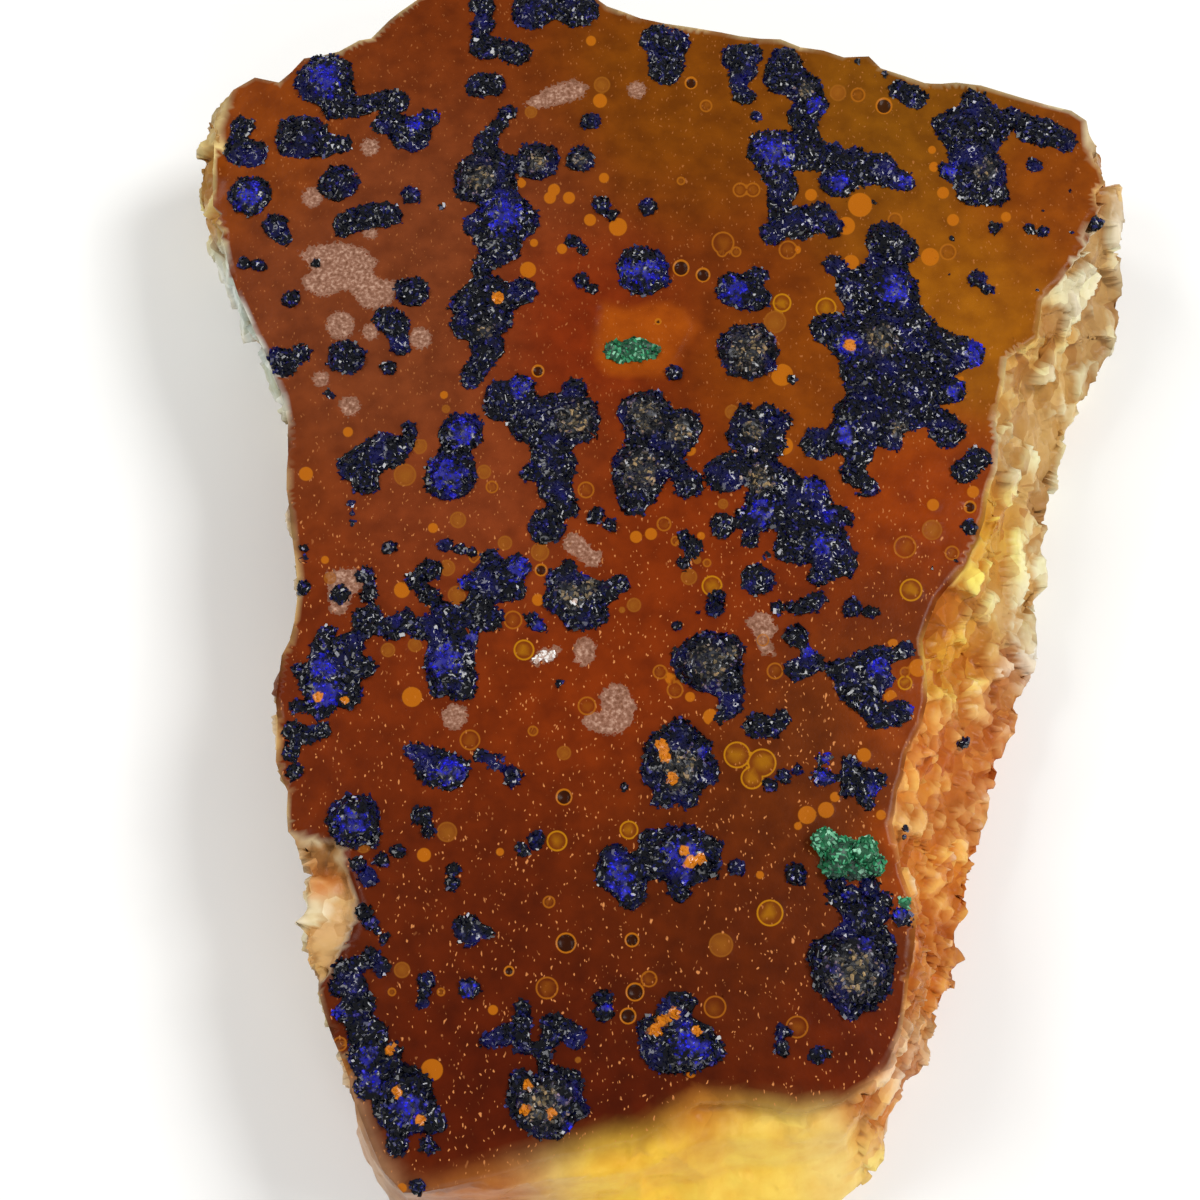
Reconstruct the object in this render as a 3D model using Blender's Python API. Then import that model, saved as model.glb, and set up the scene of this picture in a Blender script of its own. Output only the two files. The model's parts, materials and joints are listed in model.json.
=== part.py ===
"""Azurite on quartz: a broken, stained quartz slab with azurite crusts and two malachite patches.

Metres, +Z up. The slab rests on its flat base at z = 0, and +Y points to its wide far end.
Places on the face are read along sight lines from one standing eye. Each place is a pair of
millimetres, across and up, on the plane that faces the eye and passes through the middle of
the face, and a third value is a radius in millimetres.
"""
import bpy
import bmesh
import math
import random
from mathutils import Vector, noise
from mathutils.geometry import delaunay_2d_cdt

# Driving dimensions, in millimetres and degrees
MM = 0.001
SLAB_HEIGHT = 20.0        # base to the middle of the rim
FACE_CROWN = 1.2          # how far the middle of the face stands above its rim
FACE_WAVE = 0.12          # gentle undulation of the smooth face
SKIRT_HEIGHT = 7.5        # height of the widest level of the walls that the eye cannot see
TOE_HEIGHT = 2.6          # where the walls start to draw in to the base
BASE_INSET = 3.0
TOE_INSET = 1.1
HIDDEN_FLARE = 0.6        # outward lean of the walls that the eye cannot see
WALL_ROUGHNESS = 0.75     # broken quartz, in and out of the wall
WIDE_WALL = 7.0           # width from which a wall is fully rough
UPPER_LEVEL = (0.25, 0.80)    # share of the way out and share of the height left, near the rim
MIDDLE_LEVEL = (0.50, 0.42)
LEVEL_JITTER = 0.4
LEAST_FLARE = 0.2         # a wall leans out at least this much
END_BLEND = 1.5           # degrees over which a seen wall runs into a hidden one
RIM_GROWTH = 0.25         # the true edge lies this far outside the line that was read
RIM_JITTER = 0.2
RIM_STEP = 3.2            # largest distance between rim points
FIELD = 160.0             # side of the square in which the face is filled with points
FACE_STEP = 5.2           # spacing of those points
RIM_CLEARANCE = 2.4
CHIP_CLEARANCE = 1.2
CHIP_DEPTH = 0.6
CHIP_FLOOR = 0.82         # size of the chip's floor against its upper edge
EYE_DISTANCE = 190.0
EYE_ELEVATION = 70.0
REST_GAP = 0.3            # air between a crust and the face it grew on
CRUST_RATIO = 0.46        # height of a crust lobe against its radius
CRUST_LEAST = 0.32        # least thickness of a crust away from its border
BIG_LOBE = 2.2
MIDDLE_LOBE = 1.35
OUTER_SPREAD = (0.92, 1.07)      # uneven border of a lobe, against its radius
SHOULDER_SPREAD = (0.52, 0.62)
SIDE_JITTER = 0.16        # uneven turn between the points round a lobe
CENTRE_JITTER = 0.12      # how far a summit sits off the middle of its lobe
CENTRE_SPACING = 0.3      # least distances between points, against the radius of a lobe
JOINT_SPACING = 0.8
OUTER_SPACING = 0.32
SHOULDER_SPACING = 0.38
BORDER_OVERLAP = 0.93     # a border point this deep in another lobe is left out
JOINT_REACH = 0.35        # lobes this close are grown together
JOINT_SIZE = 0.55         # size of the neck between two lobes, against the smaller one
DOME_REACH = 1.04         # a dome meets its bed this far out, against the radius
LIFT_SPREAD = (0.88, 1.08)       # uneven height of the points of a dome

random.seed(7)

# Edge of the smooth brown face, clockwise from the far left corner
RIM = [
    (-37.8, 47.5), (-36.5, 50.9), (-34.4, 52.1), (-32.0, 51.6), (-30.8, 52.6), (-29.5, 54.0),
    (-26.0, 54.7), (-24.0, 55.8), (-22.8, 56.0), (-21.0, 57.8), (-20.0, 58.6), (-18.0, 60.0),
    (-15.0, 61.8), (-11.0, 62.8), (-7.0, 63.2), (-3.0, 62.0), (0.7, 59.2), (4.0, 58.0),
    (9.0, 57.1), (12.0, 56.6), (14.0, 56.2), (18.0, 55.9), (20.0, 55.1), (22.2, 54.8),
    (24.3, 54.1), (26.8, 54.2), (28.0, 53.0), (30.5, 52.2), (32.5, 51.5), (35.5, 51.6),
    (38.0, 51.3), (40.0, 50.7), (42.0, 50.1), (44.5, 49.4), (47.0, 48.8), (48.5, 47.8),
    (48.6, 45.5), (49.0, 42.5), (49.5, 39.0), (48.0, 36.0), (47.3, 33.8), (45.5, 31.5),
    (44.0, 30.0), (43.4, 26.0), (40.5, 24.0), (39.2, 18.0), (39.5, 13.0), (38.5, 10.0),
    (37.5, 6.0), (36.0, 3.0), (33.5, 0.0), (32.0, -4.0), (32.5, -8.0), (32.0, -12.0),
    (30.5, -15.0), (29.5, -19.0), (29.0, -22.0), (30.0, -27.0), (31.5, -31.0), (31.0, -36.0),
    (30.5, -40.0), (30.0, -43.0), (28.5, -46.0), (27.0, -48.0), (24.0, -50.0), (20.0, -51.0),
    (17.0, -50.6), (14.0, -50.0), (10.0, -50.0), (7.0, -51.5), (4.0, -53.5), (0.0, -54.4),
    (-4.0, -55.0), (-10.0, -57.0), (-16.0, -58.6), (-19.6, -59.0), (-21.4, -57.0),
    (-22.6, -54.5), (-23.8, -51.5), (-25.0, -47.5), (-26.6, -43.5), (-28.0, -39.0),
    (-29.6, -36.4), (-30.0, -34.0), (-29.0, -30.5), (-29.5, -27.0), (-30.2, -25.2),
    (-31.0, -23.0), (-31.0, -19.0), (-31.8, -17.3), (-32.2, -16.0), (-32.0, -12.0),
    (-31.9, -8.0), (-31.6, -5.5), (-30.8, -4.0), (-30.3, -2.0), (-30.0, 0.5), (-30.3, 4.5),
    (-30.8, 9.0), (-31.1, 13.0), (-31.0, 16.0), (-31.0, 17.6), (-31.5, 20.2), (-32.4, 22.3),
    (-33.2, 24.4), (-34.0, 26.0), (-35.0, 28.2), (-36.0, 30.4), (-36.8, 32.8), (-37.4, 35.5),
    (-37.6, 38.5), (-37.5, 42.0), (-37.6, 45.0),
]

# Outermost line of the walls where the eye sees it, each place with its height above the base:
# the right side and the near end, then the left edge
SKIRT_RIGHT = [
    (48.9, 47.8, 18.4), (50.0, 46.4, 17.4), (50.9, 44.2, 16.4), (51.8, 42.0, 15.4),
    (52.5, 40.0, 14.4), (52.9, 38.5, 13.4), (52.6, 36.0, 12.0), (52.3, 33.8, 10.6),
    (52.6, 31.5, 9.0), (52.7, 29.8, 7.8), (52.2, 26.8, 7.5), (51.2, 24.8, 7.5),
    (50.0, 22.0, 7.5), (49.0, 20.0, 7.5), (47.6, 18.5, 7.5), (46.5, 15.0, 7.5),
    (45.3, 10.5, 7.5), (45.2, 8.0, 7.5), (44.3, 4.0, 7.5), (44.6, 1.0, 7.5),
    (43.5, -2.2, 7.5), (44.0, -4.5, 7.5), (42.5, -9.5, 7.5), (41.4, -13.0, 7.5),
    (40.5, -16.5, 7.5), (39.3, -20.0, 7.5), (38.3, -23.5, 7.5), (37.5, -28.5, 7.5),
    (36.8, -32.0, 7.5), (35.7, -33.5, 7.5), (36.3, -36.0, 7.5), (36.0, -38.5, 7.5),
    (34.5, -41.5, 7.5), (33.5, -44.0, 7.5), (32.8, -46.5, 7.5), (32.0, -48.5, 7.5),
    (30.3, -49.0, 7.5), (29.3, -51.0, 7.2), (28.5, -55.0, 7.0), (28.4, -57.0, 6.8),
    (27.0, -58.5, 6.6), (24.5, -60.0, 6.4), (20.0, -62.4, 6.0), (14.0, -64.0, 6.0),
    (6.0, -65.0, 6.0), (-2.0, -65.0, 6.0), (-9.0, -64.2, 6.2), (-15.0, -62.6, 6.6),
    (-19.5, -60.6, 7.0), (-21.5, -60.0, 7.5), (-23.5, -56.0, 7.5), (-24.5, -52.4, 7.5),
    (-25.5, -48.0, 7.5),
]
SKIRT_LEFT = [
    (-31.2, 16.0, 9.0), (-32.0, 18.2, 9.4), (-32.8, 20.5, 9.8), (-33.8, 23.2, 10.4),
    (-35.0, 26.0, 11.0), (-36.0, 28.2, 11.8), (-37.2, 31.5, 12.8), (-37.9, 33.8, 13.6),
    (-39.1, 35.7, 14.4), (-40.2, 37.4, 15.0), (-40.5, 40.0, 15.6), (-40.3, 43.0, 16.2),
    (-40.3, 45.5, 16.8), (-39.9, 48.2, 17.6), (-38.4, 50.1, 18.4), (-36.8, 51.2, 19.0),
]

# A shallow chip in the face, round the small malachite
CHIP = [
    (-0.3, 30.0), (1.4, 29.8), (3.2, 29.5), (5.8, 29.3), (8.8, 28.8), (9.7, 27.6), (9.0, 26.2),
    (8.3, 24.8), (7.4, 23.4), (5.2, 22.7), (2.8, 22.6), (0.6, 22.9), (-0.5, 24.6), (-0.6, 27.4),
]

# Azurite, one entry per connected growth: name, colour, lobes
AZURITE = [
    ("azurite_corner_edge", "dark", [(-35.8, 47.2, 1.3), (-36.2, 44.8, 1.4), (-34.5, 44.6, 1.4)]),
    ("azurite_corner_button", "bright", [(-35.0, 40.4, 2.2)]),
    ("azurite_far_left_branch", "bright", [
        (-27.5, 52.0, 2.7), (-26.4, 49.5, 1.6), (-24.4, 49.2, 1.3), (-22.6, 49.8, 1.0),
        (-20.6, 49.8, 1.5), (-21.4, 47.6, 1.3), (-18.8, 46.5, 2.0), (-17.2, 48.1, 1.2)]),
    ("azurite_far_left_rosette", "dark", [(-29.8, 46.3, 2.5), (-27.2, 45.4, 1.4), (-25.6, 45.6, 1.0)]),
    ("azurite_far_left_button", "dark", [(-26.2, 41.7, 2.0)]),
    ("azurite_left_bar", "dark", [(-25.5, 37.5, 1.4), (-23.5, 38.3, 1.5), (-21.4, 38.5, 1.6)]),
    ("azurite_left_small_pair", "dark", [(-32.5, 37.5, 1.3), (-31.7, 36.1, 0.9)]),
    ("azurite_left_round", "dark", [(-18.9, 30.8, 1.8)]),
    ("azurite_peak_left", "dark", [
        (-11.7, 59.4, 1.2), (-11.7, 57.5, 1.2), (-11.6, 55.3, 1.5), (-8.3, 54.6, 1.4),
        (-9.9, 55.2, 1.0)]),
    ("azurite_peak_right", "dark", [(-6.7, 58.8, 2.0), (-4.3, 59.4, 1.6), (-2.2, 59.0, 2.1)]),
    ("azurite_far_oval", "dark", [(-12.1, 51.4, 1.4), (-10.9, 51.4, 1.4)]),
    ("azurite_spine", "bright", [
        (-9.1, 48.8, 0.9), (-10.1, 47.5, 0.9), (-10.9, 46.6, 1.0), (-11.6, 45.5, 1.2), (-12.0, 42.4, 2.6),
        (-9.5, 43.5, 1.4), (-13.2, 41.0, 1.4), (-6.2, 43.8, 2.2), (-9.9, 41.0, 1.8),
        (-9.3, 38.5, 2.8), (-12.0, 37.5, 1.6), (-10.0, 35.5, 2.2), (-7.4, 37.5, 1.4),
        (-11.5, 33.2, 1.5), (-11.0, 30.6, 2.2), (-13.2, 29.6, 1.8), (-13.4, 27.4, 1.8),
        (-10.4, 28.1, 1.8), (-7.8, 30.8, 1.6), (-11.2, 25.2, 1.8), (-12.2, 23.2, 1.4),
        (-13.1, 21.9, 1.0)]),
    ("azurite_dusted_dot", "dusted", [(-2.0, 44.0, 1.5)]),
    ("azurite_blue_eye", "bright", [(4.3, 32.9, 2.8)]),
    ("azurite_far_edge", "dark", [(5.6, 56.1, 1.6), (7.5, 55.7, 1.5), (6.3, 54.6, 1.5), (6.6, 53.0, 1.7)]),
    ("azurite_far_knot", "dark", [
        (13.5, 54.3, 1.4), (15.1, 54.6, 1.2), (14.5, 53.0, 1.3), (13.7, 51.6, 1.0), (14.4, 50.3, 1.1)]),
    ("azurite_far_right_chain", "bright", [
        (18.5, 53.9, 1.6), (17.9, 52.0, 1.6), (20.4, 51.2, 1.8), (21.5, 49.5, 1.3),
        (20.2, 48.2, 1.5), (20.6, 46.8, 1.4), (17.5, 44.7, 2.7), (18.2, 41.2, 1.7),
        (21.4, 44.4, 1.8), (23.6, 44.4, 1.3), (23.8, 41.9, 1.8), (25.4, 44.0, 1.4),
        (28.0, 43.0, 1.9), (30.4, 41.8, 1.2), (18.4, 39.0, 1.6), (17.3, 36.6, 1.4),
        (20.0, 37.5, 1.8), (22.0, 38.7, 1.4), (23.2, 37.3, 1.2)]),
    ("azurite_far_right_pair", "dark", [(30.0, 51.0, 1.2), (31.4, 50.1, 1.3)]),
    ("azurite_right_corner", "dusted", [
        (37.5, 49.6, 1.4), (34.6, 47.4, 1.4), (36.0, 47.4, 2.0), (38.5, 47.4, 2.1),
        (36.8, 45.4, 2.1), (35.1, 43.0, 1.3), (38.4, 43.0, 2.2), (37.0, 40.6, 1.4),
        (39.4, 40.6, 1.5), (41.4, 47.9, 1.5), (43.2, 46.9, 1.6), (44.9, 46.9, 1.3),
        (46.3, 45.9, 1.3)]),
    ("azurite_left_edge_crust", "dark", [(-32.0, 24.3, 1.2), (-31.5, 23.3, 1.2), (-29.8, 24.7, 1.1)]),
    ("azurite_left_middle", "dark", [(-25.3, 24.3, 2.0)]),
    ("azurite_left_hook", "dark", [(-21.4, 28.2, 1.4), (-20.3, 27.4, 1.4), (-20.0, 25.4, 1.2)]),
    ("azurite_left_patch", "dark", [
        (-21.4, 14.9, 2.1), (-19.8, 15.6, 1.5), (-19.1, 17.0, 1.1), (-23.4, 14.0, 1.9),
        (-25.0, 13.4, 1.5), (-23.5, 12.1, 1.7)]),
    ("azurite_blue_pair", "bright", [(-13.9, 16.7, 2.3), (-15.0, 12.4, 2.7)]),
    ("azurite_centre_left", "dusted", [
        (-10.0, 20.5, 1.7), (-8.0, 21.2, 1.6), (-10.3, 18.9, 1.3), (-7.4, 18.5, 1.8),
        (-5.4, 19.0, 2.0), (-7.4, 17.0, 1.5), (-2.6, 20.9, 1.5), (-2.5, 18.1, 2.7),
        (-5.4, 15.2, 1.6), (-4.0, 13.6, 1.8), (-6.9, 12.7, 1.2), (-4.5, 11.1, 1.8),
        (-3.2, 9.1, 1.3), (-5.4, 7.2, 2.0)]),
    ("azurite_centre", "dusted", [
        (4.5, 18.5, 2.8), (8.0, 17.0, 2.4), (4.0, 13.0, 3.0), (3.5, 10.0, 1.9),
        (6.8, 13.2, 2.0), (8.8, 11.6, 1.7)]),
    ("azurite_dusted_round", "dusted", [(14.9, 24.9, 3.1)]),
    ("azurite_blue_knot", "bright", [(13.5, 31.0, 2.0), (15.4, 30.3, 1.7), (15.9, 32.2, 1.2)]),
    ("azurite_centre_right", "dusted", [
        (14.7, 18.4, 1.4), (16.7, 18.9, 1.1), (18.2, 17.8, 1.2), (14.5, 16.4, 2.0),
        (17.2, 15.3, 1.4), (12.5, 12.6, 2.1), (16.0, 12.1, 2.6), (18.4, 12.1, 1.5),
        (15.6, 8.6, 2.2), (12.2, 7.4, 1.5), (15.0, 5.9, 1.1), (18.2, 8.6, 1.7),
        (21.4, 10.8, 1.7), (20.0, 7.0, 2.0), (23.8, 8.1, 1.7), (22.2, 5.4, 3.0),
        (18.9, 5.0, 1.7), (24.0, 3.8, 1.8), (21.9, 2.7, 1.6)]),
    ("azurite_short_chain", "dark", [(8.4, 6.3, 0.9), (9.2, 5.2, 1.2), (8.3, 3.6, 0.9)]),
    ("azurite_right_mass", "bright", [
        (28.5, 36.0, 2.0), (30.3, 35.0, 1.6), (28.0, 32.6, 1.9), (25.8, 31.0, 2.4),
        (23.5, 33.4, 1.2), (29.5, 31.0, 2.4), (31.5, 27.6, 1.8), (23.1, 27.0, 2.1),
        (25.3, 25.4, 2.1), (28.1, 26.0, 2.9), (26.0, 22.8, 2.1), (29.0, 22.8, 2.3),
        (34.5, 25.0, 2.3), (36.8, 24.7, 1.7), (31.7, 21.5, 2.7), (35.3, 21.0, 1.5),
        (25.5, 18.5, 2.2), (29.4, 18.5, 2.3), (32.0, 19.0, 1.9), (29.0, 16.1, 1.4),
        (24.4, 16.4, 1.9), (21.7, 15.6, 1.8), (25.8, 14.8, 1.6), (25.2, 12.6, 1.3),
        (26.7, 11.3, 1.3), (34.7, 16.9, 1.9)]),
    ("azurite_right_rim_pair", "dark", [(37.8, 14.2, 1.4), (36.3, 12.8, 1.4)]),
    ("azurite_left_mass", "bright", [
        (-23.4, 2.4, 1.1), (-23.1, 0.6, 1.1), (-23.3, -2.2, 1.7), (-20.6, -2.8, 1.4),
        (-19.4, -1.7, 1.1), (-17.4, -2.8, 1.4), (-15.6, -1.3, 1.4), (-17.0, 2.9, 1.4),
        (-18.7, 2.0, 1.0), (-17.2, 0.6, 1.3), (-15.2, -3.3, 1.4), (-12.1, -0.2, 1.5),
        (-13.8, -1.2, 1.0), (-11.0, -1.9, 1.5), (-13.4, 1.7, 1.0), (-11.0, 4.1, 1.2),
        (-11.3, 2.4, 1.3), (-8.4, 3.2, 1.7), (-9.9, 1.3, 1.9), (-8.4, 0.9, 1.3),
        (-15.0, -6.4, 2.9), (-16.0, -8.6, 1.4), (-13.8, -8.8, 1.5), (-12.8, -4.0, 0.9),
        (-27.2, -3.9, 1.6), (-25.0, -4.7, 1.6), (-28.0, -5.4, 1.3), (-27.7, -8.3, 2.3),
        (-23.6, -6.8, 1.4), (-25.2, -9.7, 1.5), (-30.1, -7.0, 0.9), (-30.2, -10.6, 1.0),
        (-28.0, -10.9, 1.3)]),
    ("azurite_left_rim", "dark", [
        (-30.9, -13.0, 1.1), (-29.8, -13.5, 1.2), (-30.9, -15.2, 1.1), (-27.7, -13.1, 1.1),
        (-28.8, -13.5, 0.9), (-30.5, -17.2, 1.0)]),
    ("azurite_blue_nub", "bright", [(-6.8, -1.9, 0.9), (-6.1, -2.6, 1.0)]),
    ("azurite_blue_cushion", "bright", [
        (-18.7, -15.2, 1.1), (-16.9, -15.5, 1.1), (-16.9, -17.2, 1.7), (-15.0, -17.2, 2.1)]),
    ("azurite_low_hook", "dark", [(-12.0, -15.6, 1.0), (-10.4, -16.2, 1.0), (-8.8, -17.6, 1.2)]),
    ("azurite_dusted_wing", "dusted", [
        (-3.1, 3.4, 1.0), (-4.0, 2.0, 1.5), (-4.4, 0.0, 1.5), (-2.0, 0.4, 2.4),
        (-2.4, -1.6, 1.7), (0.1, 0.6, 1.6), (2.0, 1.6, 1.2), (-0.5, -1.5, 1.4)]),
    ("azurite_dark_round", "dark", [(15.7, 2.0, 1.9)]),
    ("azurite_low_bead", "dark", [(11.8, 0.3, 1.0), (11.4, -1.0, 1.0)]),
    ("azurite_low_bar", "dark", [(17.7, -0.8, 0.9), (19.1, -0.8, 0.8), (20.6, -0.6, 1.1), (21.9, 0.1, 1.0)]),
    ("azurite_low_centre", "dusted", [
        (10.7, -6.3, 3.4), (8.5, -5.8, 1.6), (12.8, -5.0, 1.8), (13.0, -8.0, 1.7),
        (13.0, -10.4, 1.5), (12.1, -11.9, 0.9)]),
    ("azurite_dusted_low", "dusted", [
        (7.9, -13.3, 1.6), (5.9, -14.8, 1.7), (9.6, -14.9, 1.8), (5.5, -17.5, 1.6),
        (8.0, -16.7, 3.1), (10.5, -17.2, 1.7), (6.2, -19.8, 1.3), (8.7, -19.8, 1.3)]),
    ("azurite_low_knot", "dark", [(15.7, -12.6, 1.5), (17.2, -12.9, 1.2), (18.2, -11.9, 1.1)]),
    ("azurite_right_low_mass", "bright", [
        (19.6, -3.7, 1.4), (20.8, -5.3, 1.0), (19.6, -6.9, 1.4), (21.4, -6.4, 1.2),
        (23.4, -6.9, 1.1), (25.0, -7.0, 1.7), (25.1, -9.0, 1.6), (27.5, -6.0, 1.6),
        (28.0, -7.6, 1.6), (30.3, -5.1, 1.2), (27.0, -10.6, 1.4), (27.7, -12.0, 1.2),
        (29.4, -11.4, 1.4), (30.4, -11.0, 1.2)]),
    ("azurite_blue_finger", "bright", [
        (22.5, -15.8, 0.9), (22.3, -17.6, 1.2), (25.0, -16.5, 1.1), (24.8, -18.4, 1.4),
        (27.3, -18.1, 1.4), (26.6, -19.9, 1.2)]),
    ("azurite_blue_heart", "bright", [
        (1.5, -26.0, 1.8), (1.1, -27.5, 1.8), (2.6, -27.5, 2.4), (3.1, -29.4, 1.7),
        (8.2, -25.5, 3.3), (5.0, -24.1, 1.4), (5.1, -26.6, 1.6), (11.2, -25.0, 1.4),
        (8.0, -28.9, 1.5), (11.2, -26.9, 1.0)]),
    ("azurite_low_left_bean", "dark", [(-18.0, -21.5, 1.2), (-17.2, -23.1, 0.9)]),
    ("azurite_blue_dome", "bright", [(-24.6, -22.0, 2.9), (-22.6, -24.2, 0.8)]),
    ("azurite_low_shell", "dark", [(-13.4, -32.6, 1.5), (-13.2, -33.6, 1.3), (-11.5, -33.2, 1.0)]),
    ("azurite_near_left_mass", "bright", [
        (-23.0, -35.7, 1.2), (-21.9, -36.7, 1.1), (-25.3, -37.1, 1.5), (-24.5, -38.7, 1.5),
        (-26.2, -38.7, 1.1), (-24.0, -40.4, 1.6), (-25.6, -41.2, 1.3), (-22.4, -43.4, 1.5),
        (-24.2, -43.2, 1.4), (-23.3, -46.0, 1.9), (-20.7, -45.4, 1.2), (-23.5, -48.8, 1.4),
        (-19.5, -50.0, 3.3), (-20.2, -54.3, 1.4), (-17.1, -54.6, 1.1), (-16.4, -52.4, 1.3)]),
    ("azurite_near_button", "bright", [(-13.1, -38.9, 1.3)]),
    ("azurite_near_middle", "dusted", [
        (-7.8, -40.7, 1.0), (-7.8, -42.4, 1.2), (-9.6, -43.5, 1.3), (-11.3, -44.0, 0.9),
        (-7.8, -44.4, 1.2), (-5.8, -45.2, 1.2), (-5.0, -43.8, 1.2), (-4.8, -42.4, 1.3),
        (-3.6, -42.9, 1.2), (-2.5, -43.6, 1.4),
        (-5.5, -47.0, 1.2), (-5.5, -50.4, 3.7), (-7.6, -48.4, 1.7), (-3.0, -48.3, 1.6),
        (-2.3, -50.8, 1.4)]),
    ("azurite_near_round", "bright", [
        (8.0, -41.0, 2.1), (6.4, -45.0, 2.5), (9.0, -44.4, 2.9), (11.8, -45.1, 1.0),
        (5.0, -42.9, 1.5)]),
    ("azurite_near_right", "dusted", [
        (23.5, -29.9, 1.1), (25.3, -30.9, 1.6), (27.5, -31.0, 1.6), (30.2, -31.7, 1.2),
        (26.8, -32.4, 1.3), (25.3, -37.0, 4.2), (22.4, -35.6, 1.8), (28.0, -35.2, 1.8),
        (25.0, -41.0, 1.3)]),
]

# Malachite: name, lobes, and whether it sits in the chip
MALACHITE = [
    ("malachite_small", True, [(1.7, 25.0, 1.3), (3.4, 25.2, 1.5), (5.0, 25.0, 1.1)]),
    ("malachite_large", False, [
        (22.4, -24.3, 1.4), (24.5, -25.1, 1.4), (26.6, -26.3, 1.8), (23.0, -26.4, 1.3),
        (24.8, -27.0, 1.3)]),
]

# Colours, linear: name, colour, roughness
FINISHES = {
    "matrix": ((0.13, 0.04, 0.011), 0.35),
    "dark": ((0.006, 0.008, 0.022), 0.3),
    "bright": ((0.012, 0.025, 0.30), 0.45),
    "dusted": ((0.045, 0.04, 0.04), 0.55),
    "malachite": ((0.03, 0.20, 0.085), 0.5),
}


# The eye and its sight lines
def sight_frame():
    rise = math.radians(EYE_ELEVATION)
    target = Vector((0.0, 0.0, SLAB_HEIGHT))
    eye = target + EYE_DISTANCE * Vector((0.0, -math.cos(rise), math.sin(rise)))
    up = Vector((0.0, math.sin(rise), math.cos(rise)))
    return eye, target, up


def sight_to_level(across, up_amount, height):
    eye, target, up = sight_frame()
    aim = target + Vector((across, 0.0, 0.0)) + up_amount * up
    along = (height - eye.z) / (aim.z - eye.z)
    return eye + along * (aim - eye)


def face_height(x, y):
    bow = ((x - 3.0) / 52.0) ** 2 + ((y - 6.0) / 70.0) ** 2
    wave = noise.noise(Vector((x / 28.0, y / 28.0, 0.4)))
    return SLAB_HEIGHT + FACE_CROWN * (0.5 - bow) + FACE_WAVE * wave


def sight_to_face(across, up_amount):
    spot = sight_to_level(across, up_amount, SLAB_HEIGHT)
    for _ in range(4):
        spot = sight_to_level(across, up_amount, face_height(spot.x, spot.y))
    return spot


def true_lobe(lobe):
    """The place on the face and the real radius of one lobe, seen at a slant."""
    eye = sight_frame()[0]
    spot = sight_to_face(lobe[0], lobe[1])
    reach = (eye - spot).length
    slant = (eye.z - spot.z) / reach
    return spot.x, spot.y, lobe[2] * reach / EYE_DISTANCE / math.sqrt(slant)


# Polar lines round the middle of the slab
MIDDLE = (2.0, 4.0)


def polar(spot):
    dx = spot.x - MIDDLE[0]
    dy = spot.y - MIDDLE[1]
    return math.atan2(dy, dx), math.hypot(dx, dy)


def signed_turn(angle):
    return (angle + math.pi) % math.tau - math.pi


def seen_wall(line, angle):
    """Radius and height of a seen stretch at an angle, and how much it counts near its ends."""
    for first, second in zip(line, line[1:]):
        span = signed_turn(second[0] - first[0])
        share = signed_turn(angle - first[0]) / span if span else -1.0
        if 0.0 <= share <= 1.0:
            nearest_end = min(abs(signed_turn(angle - line[k][0])) for k in (0, -1))
            weight = min(1.0, nearest_end / math.radians(END_BLEND))
            radius = first[1] + share * (second[1] - first[1])
            height = first[2] + share * (second[2] - first[2])
            return radius, height, weight
    return None


def make_mesh_object(name, spots, faces, finish):
    mesh = bpy.data.meshes.new(name)
    mesh.from_pydata([Vector(s) * MM for s in spots], [], faces)
    mesh.update()
    work = bmesh.new()
    work.from_mesh(mesh)
    bmesh.ops.recalc_face_normals(work, faces=work.faces)
    work.to_mesh(mesh)
    work.free()
    thing = bpy.data.objects.new(name, mesh)
    bpy.context.collection.objects.link(thing)
    mesh.materials.append(finish)
    return thing


def make_finish(name):
    colour, roughness = FINISHES[name]
    finish = bpy.data.materials.new("finish_" + name)
    finish.use_nodes = True
    shader = finish.node_tree.nodes["Principled BSDF"]
    shader.inputs["Base Color"].default_value = (*colour, 1.0)
    shader.inputs["Roughness"].default_value = roughness
    return finish


# Quartz matrix
def rim_stations():
    """Angles and radii of the rim, with points added where they are far apart."""
    line = [polar(sight_to_face(u, v)) for u, v in RIM]
    stations = []
    for i, (angle, radius) in enumerate(line):
        next_angle, next_radius = line[(i + 1) % len(line)]
        turn = signed_turn(next_angle - angle)
        run = math.hypot(turn * (radius + next_radius) / 2, next_radius - radius)
        count = max(1, math.ceil(run / RIM_STEP))
        for k in range(count):
            share = k / count
            shift = random.uniform(-RIM_JITTER, RIM_JITTER) if k else 0.0
            reach = radius + share * (next_radius - radius) + shift + RIM_GROWTH
            stations.append((angle + share * turn, reach))
    return stations


def skirt_stations(stations):
    """Radius and height of the outermost line of the wall at every station of the rim."""
    seen_lines = []
    for places in (SKIRT_RIGHT, SKIRT_LEFT):
        seen_lines.append([(*polar(sight_to_level(u, v, h)), h) for u, v, h in places])
    skirt = []
    for angle, radius in stations:
        reach = radius + HIDDEN_FLARE
        height = SKIRT_HEIGHT
        for line in seen_lines:
            seen = seen_wall(line, angle)
            if seen:
                reach += seen[2] * (seen[0] - reach)
                height += seen[2] * (seen[1] - height)
        skirt.append((max(reach, radius + LEAST_FLARE), height))
    return skirt


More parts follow.
